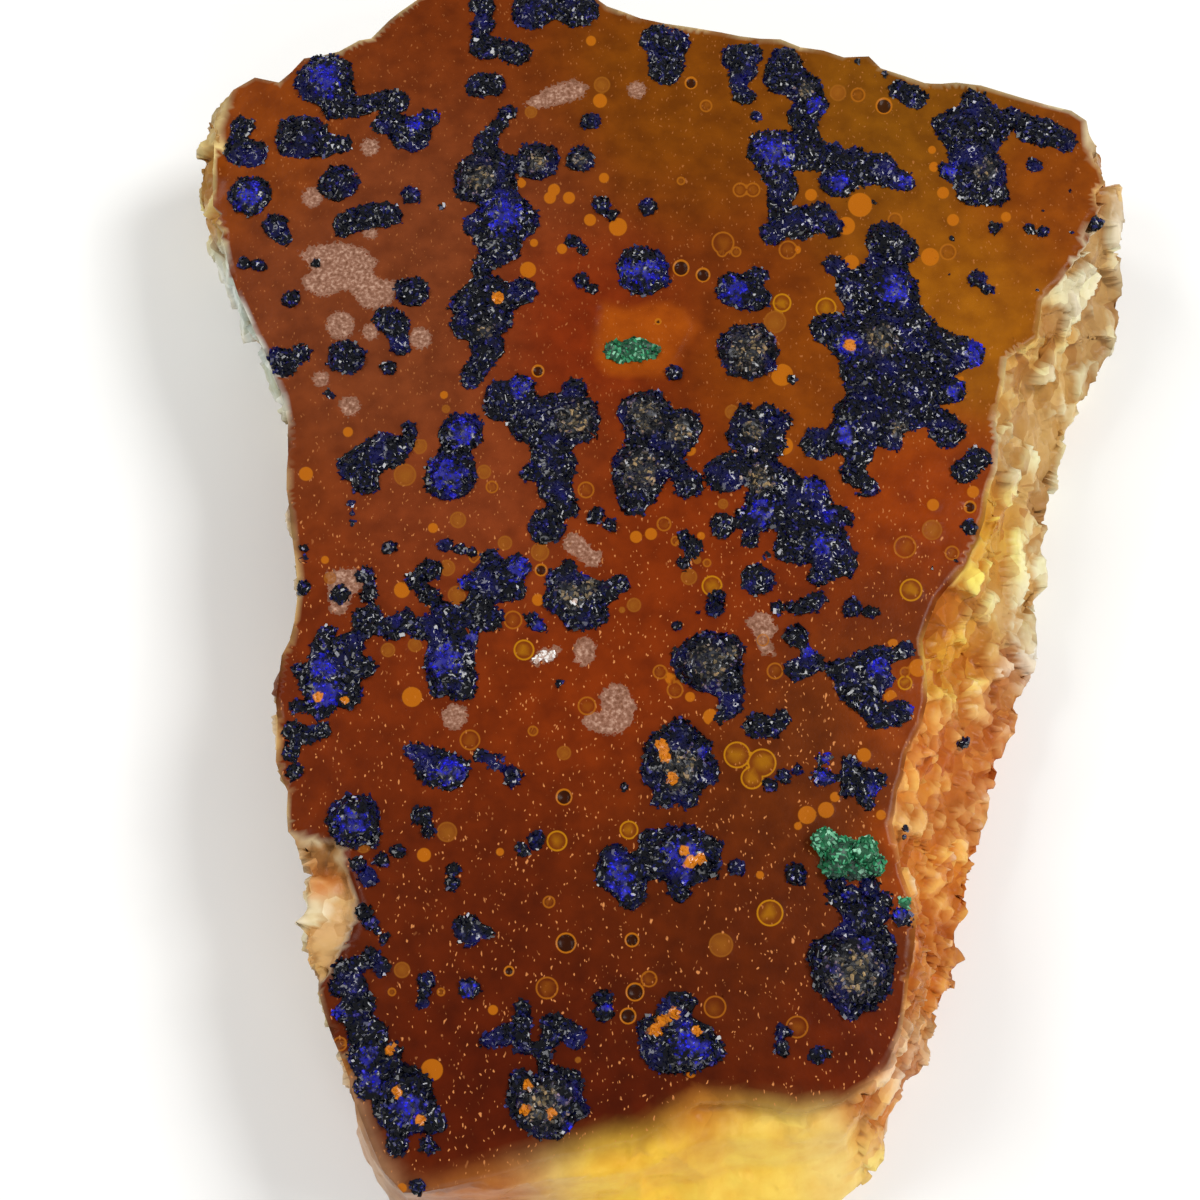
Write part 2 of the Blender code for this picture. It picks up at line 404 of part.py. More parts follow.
def wall_levels(radius, reach, height):
    """Reach and height of every level of the wall at one station, from the rim to the base."""
    width = reach - radius
    fall = SLAB_HEIGHT - height
    rough = WALL_ROUGHNESS * min(1.0, 0.2 + width / WIDE_WALL)
    upper = radius + width * UPPER_LEVEL[0] + random.uniform(0.0, rough) / 2
    middle = radius + width * MIDDLE_LEVEL[0] + random.uniform(-rough, rough) / 2
    toe = reach - TOE_INSET - random.uniform(0.0, LEVEL_JITTER)
    base = reach - BASE_INSET - random.uniform(0.0, LEVEL_JITTER)
    return [
        (radius, None),
        (max(upper, radius + LEAST_FLARE / 2), height + fall * jittered(UPPER_LEVEL[1])),
        (max(middle, radius + LEAST_FLARE), height + fall * jittered(MIDDLE_LEVEL[1])),
        (reach, height),
        (toe, TOE_HEIGHT + random.uniform(-LEVEL_JITTER, LEVEL_JITTER)),
        (base, 0.0),
    ]


def jittered(share):
    return share * random.uniform(0.9, 1.1)


def inside(x, y, ring):
    hit = False
    for (ax, ay), (bx, by) in zip(ring[-1:] + ring[:-1], ring):
        if (ay > y) != (by > y) and x < (bx - ax) * (y - ay) / (by - ay) + ax:
            hit = not hit
    return hit


def ring_distance(x, y, ring):
    spot = Vector((x, y))
    best = math.inf
    for start, end in zip(ring[-1:] + ring[:-1], ring):
        edge = Vector(end) - Vector(start)
        share = (spot - Vector(start)).dot(edge) / edge.length_squared
        near = Vector(start) + max(0.0, min(1.0, share)) * edge
        best = min(best, (near - spot).length)
    return best


def chip_rings():
    """Upper edge of the chip and the edge of its floor, on the plane."""
    edge = [tuple(sight_to_face(u, v).xy) for u, v in CHIP]
    cx = sum(x for x, _ in edge) / len(edge)
    cy = sum(y for _, y in edge) / len(edge)
    floor = [(cx + CHIP_FLOOR * (x - cx), cy + CHIP_FLOOR * (y - cy)) for x, y in edge]
    return edge, floor


def build_matrix(finish):
    stations = rim_stations()
    count = len(stations)
    rows = [[] for _ in range(6)]
    for (angle, radius), (reach, height) in zip(stations, skirt_stations(stations)):
        for row, (out, level) in zip(rows, wall_levels(radius, reach, height)):
            x = MIDDLE[0] + out * math.cos(angle)
            y = MIDDLE[1] + out * math.sin(angle)
            row.append((x, y, face_height(x, y) if level is None else level))
    spots = [spot for row in rows for spot in row]
    faces = []
    for level in range(len(rows) - 1):
        for i in range(count):
            j = (i + 1) % count
            faces += split_quad(spots, level * count + i, level * count + j,
                                (level + 1) * count + j, (level + 1) * count + i)
    faces.append(tuple((len(rows) - 1) * count + i for i in range(count)))
    fill_face(spots, faces, [(x, y) for x, y, _ in rows[0]])
    return make_mesh_object("matrix", spots, faces, finish)


def split_quad(spots, a, b, c, d):
    """Two triangles, parted along the shorter diagonal."""
    first = (Vector(spots[a]) - Vector(spots[c])).length
    second = (Vector(spots[b]) - Vector(spots[d])).length
    if first < second:
        return [(a, b, c), (a, c, d)]
    return [(a, b, d), (b, c, d)]


def fill_face(spots, faces, ring):
    """Fill the smooth face between the rim points, with the chip sunk into it."""
    edge, floor = chip_rings()
    rings = [ring, edge, floor]
    flat = [Vector(place) for one in rings for place in one]
    ties = []
    start = 0
    for one in rings:
        ties += [(start + i, start + (i + 1) % len(one)) for i in range(len(one))]
        start += len(one)
    lines = int(FIELD / FACE_STEP)
    for row in range(lines):
        for column in range(lines):
            x = FACE_STEP * (column + 0.5 * (row % 2)) - FIELD / 2 + random.uniform(-1.0, 1.0)
            y = FACE_STEP * row - FIELD / 2 + random.uniform(-1.0, 1.0)
            clear = ring_distance(x, y, ring) > RIM_CLEARANCE
            clear = clear and min(ring_distance(x, y, edge), ring_distance(x, y, floor)) > CHIP_CLEARANCE
            if clear and inside(x, y, ring):
                flat.append(Vector((x, y)))
    places, _, cells, sources, _, _ = delaunay_2d_cdt(flat, ties, [], 1, 1e-5)
    number = []
    for place, source in zip(places, sources):
        kind = source[0] if source else len(flat)
        if kind < len(ring):
            number.append(kind)
            continue
        on_edge = kind < len(ring) + len(edge)
        on_floor = not on_edge and kind < start
        sunk = on_floor or (not on_edge and inside(place.x, place.y, floor))
        number.append(len(spots))
        drop = CHIP_DEPTH if sunk else 0.0
        spots.append((place.x, place.y, face_height(place.x, place.y) - drop))
    faces += [tuple(number[k] for k in cell) for cell in cells]


# Crusts of azurite and malachite: domes that merge, over a closed footprint
def lobe_ring(lobe, sides, spread):
    """Uneven points round a lobe, at a share of its radius."""
    x, y, r = lobe
    start = random.uniform(0, math.tau)
    ring = []
    for side in range(sides):
        angle = start + math.tau * (side + random.uniform(-SIDE_JITTER, SIDE_JITTER)) / sides
        reach = r * random.uniform(*spread)
        ring.append((x + reach * math.cos(angle), y + reach * math.sin(angle)))
    return ring


def far_from(place, points, spacing):
    return all(math.dist(place, point) > spacing for point in points)


def crust_points(lobes):
    points = []
    for x, y, r in lobes:
        off = CENTRE_JITTER * r
        place = (x + random.uniform(-off, off), y + random.uniform(-off, off))
        if far_from(place, points, CENTRE_SPACING * r):
            points.append(place)
    for x, y, r in joints_between(lobes):
        if far_from((x, y), points, JOINT_SPACING * r):
            points.append((x, y))
    for k, lobe in enumerate(lobes):
        others = lobes[:k] + lobes[k + 1:]
        sides = 9 if lobe[2] > BIG_LOBE else 8 if lobe[2] > MIDDLE_LOBE else 7
        for place in lobe_ring(lobe, sides, OUTER_SPREAD):
            free = all(math.dist(place, other[:2]) > BORDER_OVERLAP * other[2] for other in others)
            if free and far_from(place, points, OUTER_SPACING * lobe[2]):
                points.append(place)
    for lobe in lobes:
        if lobe[2] > MIDDLE_LOBE:
            for place in lobe_ring(lobe, 6 if lobe[2] > BIG_LOBE else 5, SHOULDER_SPREAD):
                if far_from(place, points, SHOULDER_SPACING * lobe[2]):
                    points.append(place)
    return points


def joints_between(lobes):
    """Small discs where two lobes meet, so that they stay one piece."""
    discs = []
    for i, (ax, ay, ar) in enumerate(lobes):
        for bx, by, br in lobes[i + 1:]:
            span = math.hypot(ax - bx, ay - by)
            if span < ar + br + JOINT_REACH:
                share = (span + ar - br) / (2 * span)
                size = JOINT_SIZE * min(ar, br)
                discs.append((ax + share * (bx - ax), ay + share * (by - ay), size))
    return discs


def cell_sides(cell):
    return [frozenset((cell[i - 1], cell[i])) for i in range(3)]


def fill_holes(cells, keep, users):
    """Keep every dropped triangle that the outside cannot reach."""
    reached = {n for n, cell in enumerate(cells)
               if not keep[n] and any(len(users[side]) == 1 for side in cell_sides(cell))}
    queue = list(reached)
    while queue:
        for side in cell_sides(cells[queue.pop()]):
            for other in users[side]:
                if not keep[other] and other not in reached:
                    reached.add(other)
                    queue.append(other)
    return [keep[n] or n not in reached for n in range(len(cells))]


def fill_pinches(cells, keep, users):
    """Keep every triangle round a corner where the border would touch itself."""
    uses = {}
    for side, owners in users.items():
        if sum(keep[n] for n in owners) == 1:
            for corner in side:
                uses[corner] = uses.get(corner, 0) + 1
    pinched = {corner for corner, times in uses.items() if times > 2}
    return [keep[n] or any(corner in pinched for corner in cell) for n, cell in enumerate(cells)]


def footprint(points, lobes):
    """Triangles that cover the lobes in one piece with one border."""
    net = delaunay_2d_cdt([Vector(point) for point in points], [], [], 0, 1e-6)
    places = [tuple(place) for place in net[0]]
    cells = [tuple(cell) for cell in net[2]]
    users = {}
    for n, cell in enumerate(cells):
        for side in cell_sides(cell):
            users.setdefault(side, []).append(n)
    discs = lobes + joints_between(lobes)
    keep = []
    for cell in cells:
        centre = [sum(places[corner][axis] for corner in cell) / 3 for axis in (0, 1)]
        keep.append(any(math.dist(centre, disc[:2]) < 0.99 * disc[2] for disc in discs))
    before = None
    while keep != before:
        before = keep
        keep = fill_pinches(cells, fill_holes(cells, keep, users), users)
    return places, [cell for n, cell in enumerate(cells) if keep[n]]


def border_of(cells):
    sides = {(cell[i - 1], cell[i]) for cell in cells for i in range(3)}
    follow = {a: b for a, b in sides if (b, a) not in sides}
    loop = [min(follow)]
    while follow[loop[-1]] != loop[0]:
        loop.append(follow[loop[-1]])
    if len(loop) != len(follow):
        raise ValueError("a footprint has more than one border")
    return loop


def settled_footprint(lobes):
    """A footprint in which no inner edge runs from border to border."""
    points = crust_points(lobes)
    while True:
        places, cells = footprint(points, lobes)
        loop = border_of(cells)
        border = {frozenset(pair) for pair in zip(loop, loop[1:] + loop[:1])}
        inner = {side for cell in cells for side in cell_sides(cell)} - border
        chords = [sorted(side) for side in inner if side <= set(loop)]
        if not chords:
            return places, cells, loop
        used = sorted({corner for cell in cells for corner in cell})
        points = [places[corner] for corner in used]
        for a, b in sorted(chords):
            middle = ((places[a][0] + places[b][0]) / 2, (places[a][1] + places[b][1]) / 2)
            if far_from(middle, points, 0.05):
                points.append(middle)


def dome_lift(x, y, lobes):
    """Height of the merged domes over the bed of the crust."""
    lift = 0.0
    for cx, cy, r in lobes:
        off = math.hypot(x - cx, y - cy) / (DOME_REACH * r)
        lift = max(lift, CRUST_RATIO * r * math.sqrt(max(0.0, 1.0 - off * off)))
    return max(CRUST_LEAST, lift * random.uniform(*LIFT_SPREAD))


def build_crust(name, marks, finish, in_chip):
    lobes = [true_lobe(mark) for mark in marks]
    places, cells, loop = settled_footprint(lobes)
    bed = REST_GAP - (CHIP_DEPTH if in_chip else 0.0)
    spots = []
    number = {}
    for corner in sorted({corner for cell in cells for corner in cell}):
        x, y = places[corner]
        lift = 0.0 if corner in loop else dome_lift(x, y, lobes)
        number[corner] = len(spots)
        spots.append((x, y, face_height(x, y) + bed + lift))
    faces = [tuple(number[corner] for corner in cell) for cell in cells]
    ring = [Vector(places[corner]) for corner in loop]
    _, _, under, sources, _, _ = delaunay_2d_cdt(ring, [], [tuple(range(len(ring)))], 1, 1e-7)
    for cell in under:
        faces.append(tuple(number[loop[sources[k][0]]] for k in reversed(cell)))
    return make_mesh_object(name, spots, faces, finish)


for thing in list(bpy.data.objects):
    bpy.data.objects.remove(thing, do_unlink=True)
finishes = {name: make_finish(name) for name in FINISHES}
build_matrix(finishes["matrix"])
for crust_name, colour_name, crust_lobes in AZURITE:
    build_crust(crust_name, crust_lobes, finishes[colour_name], False)
for crust_name, in_chip, crust_lobes in MALACHITE:
    build_crust(crust_name, crust_lobes, finishes["malachite"], in_chip)
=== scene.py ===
import json
import math
import bpy
import bmesh
import numpy as np
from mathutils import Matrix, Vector, noise
from mathutils.bvhtree import BVHTree

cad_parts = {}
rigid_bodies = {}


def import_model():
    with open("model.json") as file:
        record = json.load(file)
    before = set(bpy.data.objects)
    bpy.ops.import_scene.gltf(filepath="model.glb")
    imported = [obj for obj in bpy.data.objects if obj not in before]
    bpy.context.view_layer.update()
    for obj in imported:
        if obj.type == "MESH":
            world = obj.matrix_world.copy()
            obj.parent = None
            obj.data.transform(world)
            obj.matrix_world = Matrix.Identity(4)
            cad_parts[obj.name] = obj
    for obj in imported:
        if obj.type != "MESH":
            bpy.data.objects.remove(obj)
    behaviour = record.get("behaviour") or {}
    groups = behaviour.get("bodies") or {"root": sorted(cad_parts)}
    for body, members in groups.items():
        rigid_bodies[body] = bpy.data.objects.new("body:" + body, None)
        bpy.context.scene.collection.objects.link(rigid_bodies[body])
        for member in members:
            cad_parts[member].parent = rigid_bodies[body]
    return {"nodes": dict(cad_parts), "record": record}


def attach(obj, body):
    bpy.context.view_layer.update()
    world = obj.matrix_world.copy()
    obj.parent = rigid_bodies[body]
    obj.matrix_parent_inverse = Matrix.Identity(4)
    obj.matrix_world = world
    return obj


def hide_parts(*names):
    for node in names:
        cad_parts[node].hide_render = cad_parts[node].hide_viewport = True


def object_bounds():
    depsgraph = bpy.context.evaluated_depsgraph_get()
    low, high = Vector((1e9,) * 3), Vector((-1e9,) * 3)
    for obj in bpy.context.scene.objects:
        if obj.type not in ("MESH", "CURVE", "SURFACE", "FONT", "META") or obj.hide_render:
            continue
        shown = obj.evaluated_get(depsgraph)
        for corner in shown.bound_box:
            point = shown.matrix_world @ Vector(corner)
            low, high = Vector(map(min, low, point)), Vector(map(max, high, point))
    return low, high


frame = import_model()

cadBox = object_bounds()
mm = 0.001

# camera: one eye over the near end, looking down at the face
photoView = {
    "eyeDistance": 190.0,     # mm, eye to the middle of the face
    "elevation": 70.0,
    "aimHeight": 20.0,        # mm
    "lens": 57.0,
    "sensor": 36.0,
    "pixelsPerMm": 10.0,      # at the middle of the face
    "middlePixel": 600.0,
}


def eyeFrame():
    rise = math.radians(photoView["elevation"])
    aim = Vector((0.0, 0.0, photoView["aimHeight"] * mm))
    back = Vector((0.0, -math.cos(rise), math.sin(rise)))
    up = Vector((0.0, math.sin(rise), math.cos(rise)))
    return aim + back * photoView["eyeDistance"] * mm, aim, up, -back


def makeCamera():
    lens = bpy.data.cameras.new("photoCamera")
    lens.lens = photoView["lens"]
    lens.sensor_width = photoView["sensor"]
    lens.clip_start = 0.01
    camera = bpy.data.objects.new("photoCamera", lens)
    bpy.context.scene.collection.objects.link(camera)
    camera.location = eyeFrame()[0]
    camera.rotation_euler = (math.radians(90.0 - photoView["elevation"]), 0.0, 0.0)
    bpy.context.scene.camera = camera


makeCamera()


# places in metres to photo pixels
def toPixels(places):
    eye, _, up, ahead = eyeFrame()
    off = np.asarray(places) - np.array(eye)
    reach = photoView["eyeDistance"] / (off @ np.array(ahead))
    middle = photoView["middlePixel"]
    perMm = photoView["pixelsPerMm"]
    return np.stack([middle + perMm * reach * off[:, 0],
                     middle - perMm * reach * (off @ np.array(up))], axis=1)


# one photo pixel to the place where its sight line meets a surface
def toSurface(px, py, tree):
    eye, aim, up, _ = eyeFrame()
    middle = photoView["middlePixel"]
    perMm = photoView["pixelsPerMm"]
    target = aim + Vector((1, 0, 0)) * ((px - middle) / perMm * mm) + up * ((middle - py) / perMm * mm)
    return tree.ray_cast(eye, target - eye)[0]


def linear(hexColour):
    channels = [int(hexColour[i:i + 2], 16) / 255.0 for i in (1, 3, 5)]
    return tuple(c / 12.92 if c <= 0.04045 else ((c + 0.055) / 1.055) ** 2.4 for c in channels)


def coordinates(mesh):
    flat = np.zeros(len(mesh.vertices) * 3, np.float32)
    mesh.vertices.foreach_get("co", flat)
    return flat.reshape(-1, 3).astype(float)


def setNumbers(mesh, name, values):
    layer = mesh.attributes.new(name, "FLOAT", "POINT")
    layer.data.foreach_set("value", np.asarray(values, np.float32))


def setColours(mesh, name, values):
    layer = mesh.attributes.new(name, "FLOAT_COLOR", "POINT")
    full = np.ones((len(values), 4), np.float32)
    full[:, :values.shape[1]] = values
    layer.data.foreach_set("color", full.ravel())


def newPiece(name, mesh, slot, *nodes):
    piece = bpy.data.objects.new(name, mesh)
    bpy.context.scene.collection.objects.link(piece)
    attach(piece, "root")
    if nodes:
        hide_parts(*nodes)


# a merged copy of a CAD node, as a bmesh
def mergedCopy(node):
    work = bmesh.new()
    work.from_mesh(frame["nodes"][node].data)
    bmesh.ops.remove_doubles(work, verts=work.verts, dist=2e-6)
    return work


# splits every edge that is longer than the length wanted there
def refine(work, wanted, rounds):
    for _ in range(rounds):
        ends = np.array([(*e.verts[0].co, *e.verts[1].co) for e in work.edges])
        lengths = np.linalg.norm(ends[:, :3] - ends[:, 3:], axis=1)
        tooLong = lengths > wanted((ends[:, :3] + ends[:, 3:]) / 2.0)
        work.edges.ensure_lookup_table()
        picked = [work.edges[i] for i in np.nonzero(tooLong)[0]]
        if not picked:
            break
        bmesh.ops.subdivide_edges(work, edges=picked, cuts=1)
        bmesh.ops.triangulate(work, faces=[f for f in work.faces if len(f.verts) > 3])


# smooth step from 0 at low to 1 at high
def ramp(values, low, high):
    share = np.clip((values - low) / (high - low), 0.0, 1.0)
    return share * share * (3.0 - 2.0 * share)


# adds one node: words set its own settings, numbers set its sockets, links join outputs or nodes to sockets
def addNode(tree, kind, settings=None, links=None):
    node = tree.nodes.new(kind)
    for key, value in (settings or {}).items():
        if key == "stops":
            while len(node.color_ramp.elements) < len(value):
                node.color_ramp.elements.new(0.5)
            for element, (place, hexColour) in zip(node.color_ramp.elements, value):
                element.position = place
                element.color = (*linear(hexColour), 1.0)
        elif isinstance(key, int):
            isHex = isinstance(value, str) and value.startswith("#")
            node.inputs[key].default_value = (*linear(value), 1.0) if isHex else value
        else:
            setattr(node, key, value)
    for key, source in (links or {}).items():
        if isinstance(source, bpy.types.Node):
            source = next(output for output in source.outputs if output.enabled)
        tree.links.new(source, node.inputs[key])
    return node


def newMaterial(name, roughness, ior, specular):
    material = bpy.data.materials.new(name)
    material.use_nodes = True
    shader = material.node_tree.nodes["Principled BSDF"]
    shader.inputs["Roughness"].default_value = roughness
    shader.inputs["IOR"].default_value = ior
    shader.inputs["Specular IOR Level"].default_value = specular
    return material, material.node_tree, shader


# pattern scale of a noise whose blobs are about this many mm wide
def perMillimetre(size):
    return 1.0 / (size * mm)


print("frame and camera ready")

# the slab: readings of the face in photo pixels, sizes in mm
slab = {
    "middle": (2.0, 4.0),         # mm, the rim is star-shaped round this place
    "faceEdge": 1.0,              # length of a triangle's side on the open face
    "markEdge": 0.34,             # near discs, rings and patch edges
    "hiddenEdge": 2.0,            # under the azurite
    "wallEdge": 0.74,
    "baseEdge": 6.0,
    "blockSize": 3.4,             # broken blocks of the wall
    "blockDepth": 0.95,
    "chunkSize": 1.25,            # crystals of the broken quartz
    "chunkDepth": 0.34,
    "grainSize": 0.55,
    "grainDepth": 0.08,
    "pitDepth": 0.26,
    "patchSink": 0.05,
    "chipMargin": 18.0,           # photo pixels round the chip's outline
    "chipFill": 0.7,              # share of the chip's depth that its worn floor takes back
    "chipReach": 25.0,            # photo pixels
    "crown": 1.2,                 # the face's rise, over half widths across and along
    "crownMiddle": (3.0, 6.0),
    "crownWidths": (52.0, 70.0),
    "faceLevel": 20.0,
    "stainDepth": 1.28,           # power that deepens the face's stains
    "stainTint": (1.1, 0.94, 0.55),   # iron red and gold, little blue
    "softRim": 2.2,               # the near end passes from brown to honey over this width
    "sharpRim": 0.35,             # and every other rim over this one
    "faceDrop": 1.5,              # the face ends this far below its rim
    "nearMark": 0.35,             # finer triangles this near to a mark's or a patch's edge
    "nearBase": 0.3,
    "underside": 0.02,            # what lies lower than this stays flat
    "warpSize": 5.0,              # stains and outlines wander over this width
    "stainWander": 14.0,          # photo pixels
    "notchWander": 6.0,           # photo pixels
    "notchFloor": 12.0,
    "swellSize": 2.6,             # soft swells of the open face
    "swellDepth": 0.035,
    "lipHeight": 0.04,            # raised line round a mark
    "lipWidth": 0.16,
    "chipRest": 0.1,              # depth that the worn chip keeps
    "chipStrength": 0.85,
    "sharpAngle": 34.0,
    "draftFactor": 1.8,
    # photo rows and columns over which a look begins or ends
    "smoothRows": (1085, 1140),
    "smoothColumns": (840, 890),
    "smoothHeights": (3, 6),      # mm above the floor
    "granularRows": (590, 700),
    "granularEnd": (1020, 1080),
    "granularColumn": 700,
    "softRows": (1040, 1110),
    "softColumns": (800, 870),
    "fleckAndGlintRows": (380, 620),
    # pale flecks of the face, partly crystal and partly painted glints
    "flecksAndGlints": [(0.36, 0.16, 0.5), (0.6, 0.12, -0.7), (1.3, 0.08, 1.3)],   # spacing, reach, turn
}

# stain of the smooth face: where, how wide, which colour
stains = {
    "plainBrown": (600, 600, 5000, "#7C4218"),
    "pinkHazeLeft": (420, 300, 130, "#84503A"),
    "pinkHazeMiddle": (470, 520, 90, "#8A4E36"),
    "paleCornerLeft": (235, 130, 70, "#8F5210"),
    "amberTop": (700, 70, 90, "#85560E"),
    "goldTop": (900, 90, 100, "#8A6216"),
    "goldMiddle": (800, 400, 70, "#8C5410"),
    "goldRight": (960, 320, 80, "#A07018"),
    "redCornerRight": (1050, 200, 60, "#905614"),
    "rustRight": (915, 480, 60, "#974C0A"),
    "rustChip": (560, 330, 70, "#8A3A0C"),
    "brownMiddle": (680, 560, 110, "#864013"),
    "redLeft": (400, 700, 120, "#7E3D18"),
    "redHeart": (560, 700, 100, "#8A4212"),
    "oliveHeart": (800, 760, 90, "#744015"),
    "umberLow": (480, 900, 120, "#6A3010"),
    "umberLowRight": (720, 920, 120, "#6A3510"),
    "darkNear": (620, 1090, 120, "#5C2407"),
    "darkNearLeft": (470, 1080, 90, "#60260A"),
    "nearRight": (850, 1060, 70, "#6E2F0A"),
    "amberBeside": (900, 720, 40, "#9C5410"),
    "amberMalachite": (905, 860, 40, "#A65A12"),
}

# stain of the walls, the same way
wallStains = {
    "hidden": (600, 600, 5000, "#BCA97E"),
    "leftBlue": (262, 360, 40, "#C4CFCC"),
    "leftBlueUp": (236, 290, 34, "#C9D6D4"),
    "leftCream": (212, 190, 46, "#C7B078"),
    "leftTan": (298, 540, 40, "#A88A5C"),
    "leftLow": (288, 700, 60, "#B88C50"),
    "notchTop": (318, 855, 22, "#B79F7E"),
    "notchSeam": (325, 880, 12, "#E09A48"),
    "notchCream": (325, 930, 36, "#E2D4B8"),
    "nearLeftWall": (365, 1130, 46, "#C09068"),
    "cornerCream": (1085, 130, 40, "#CDBE9E"),
    "cornerOrange": (1085, 180, 30, "#C28A3E"),
    "rightGrey": (1105, 280, 55, "#CDC2A6"),
    "rightAmber": (1035, 330, 24, "#C8982E"),
    "rightOchre": (1008, 400, 20, "#BC923A"),
    "rightCream": (1050, 420, 46, "#DDD2AC"),
    "rightGold": (1000, 520, 24, "#E2B42C"),
    "rightYellow": (990, 560, 32, "#EAC84A"),
    "rightStone": (1040, 520, 36, "#D4C6A6"),
    "rightPale": (1032, 590, 34, "#E2D8B8"),
    "yellowLow": (950, 660, 34, "#E0AE46"),
    "orangeIn": (940, 610, 24, "#BE7626"),
    "whiteEdge": (1030, 660, 22, "#E4DDD0"),
    "rustSeam": (1008, 670, 20, "#C07838"),
    "pinkGrain": (985, 760, 46, "#D8955A"),
    "orangeGrain": (930, 760, 40, "#DB9140"),
    "orangeLow": (945, 880, 50, "#DC9344"),
    "orangeLower": (915, 960, 46, "#CE8232"),
    "pinkSmooth": (905, 1065, 28, "#CFA07C"),
    "nearCorner": (880, 1120, 36, "#CE8C46"),
    "nearPale": (850, 1180, 46, "#F0CC74"),
    "nearAmber": (700, 1112, 40, "#B8690A"),
    "nearHoney": (640, 1180, 60, "#F0BC28"),
    "nearHoneyRight": (760, 1175, 64, "#F4C848"),
    "nearOrange": (480, 1190, 44, "#B8640A"),
    "nearDark": (430, 1170, 34, "#8A4A1C"),
}

# flat tan quartz in the face: outlines, then round spots
bigPatch = [(299, 255), (310, 246), (340, 242), (363, 248), (378, 262), (372, 270), (378, 278), (398, 282),
            (391, 303), (378, 308), (366, 309), (356, 300), (350, 290), (340, 290), (330, 296), (318, 296),
            (306, 289), (301, 280), (312, 270)]
longPatch = [(523, 105), (545, 88), (575, 79), (589, 86), (583, 97), (560, 104), (540, 109)]
twinPatch = [(563, 540), (572, 531), (584, 538), (592, 548), (603, 553), (600, 566), (586, 566), (577, 556),
             (566, 553)]
boxPatch = [(326, 572), (352, 568), (365, 572), (362, 588), (352, 596), (345, 615), (331, 612), (328, 596)]
roundPatch = [(600, 693), (612, 684), (626, 686), (637, 706), (632, 724), (620, 734), (600, 733), (586, 728),
              (581, 720), (590, 712), (602, 712)]
smallPatch = [(575, 642), (586, 636), (596, 644), (595, 658), (586, 667), (574, 662)]
streakPatch = [(746, 622), (756, 612), (770, 613), (778, 630), (770, 640), (775, 655), (762, 654), (757, 640)]
lowPatch = [(440, 712), (452, 703), (466, 708), (468, 720), (458, 730), (446, 728)]
patchOutlines = [bigPatch, longPatch, twinPatch, boxPatch, roundPatch, smallPatch, streakPatch, lowPatch]
patchSpots = [(340, 325, 14), (370, 332, 8), (420, 338, 11), (321, 379, 8), (350, 406, 10), (370, 147, 9),
              (312, 197, 10), (637, 90, 9), (545, 655, 8), (536, 662, 5), (556, 650, 5), (370, 232, 7)]

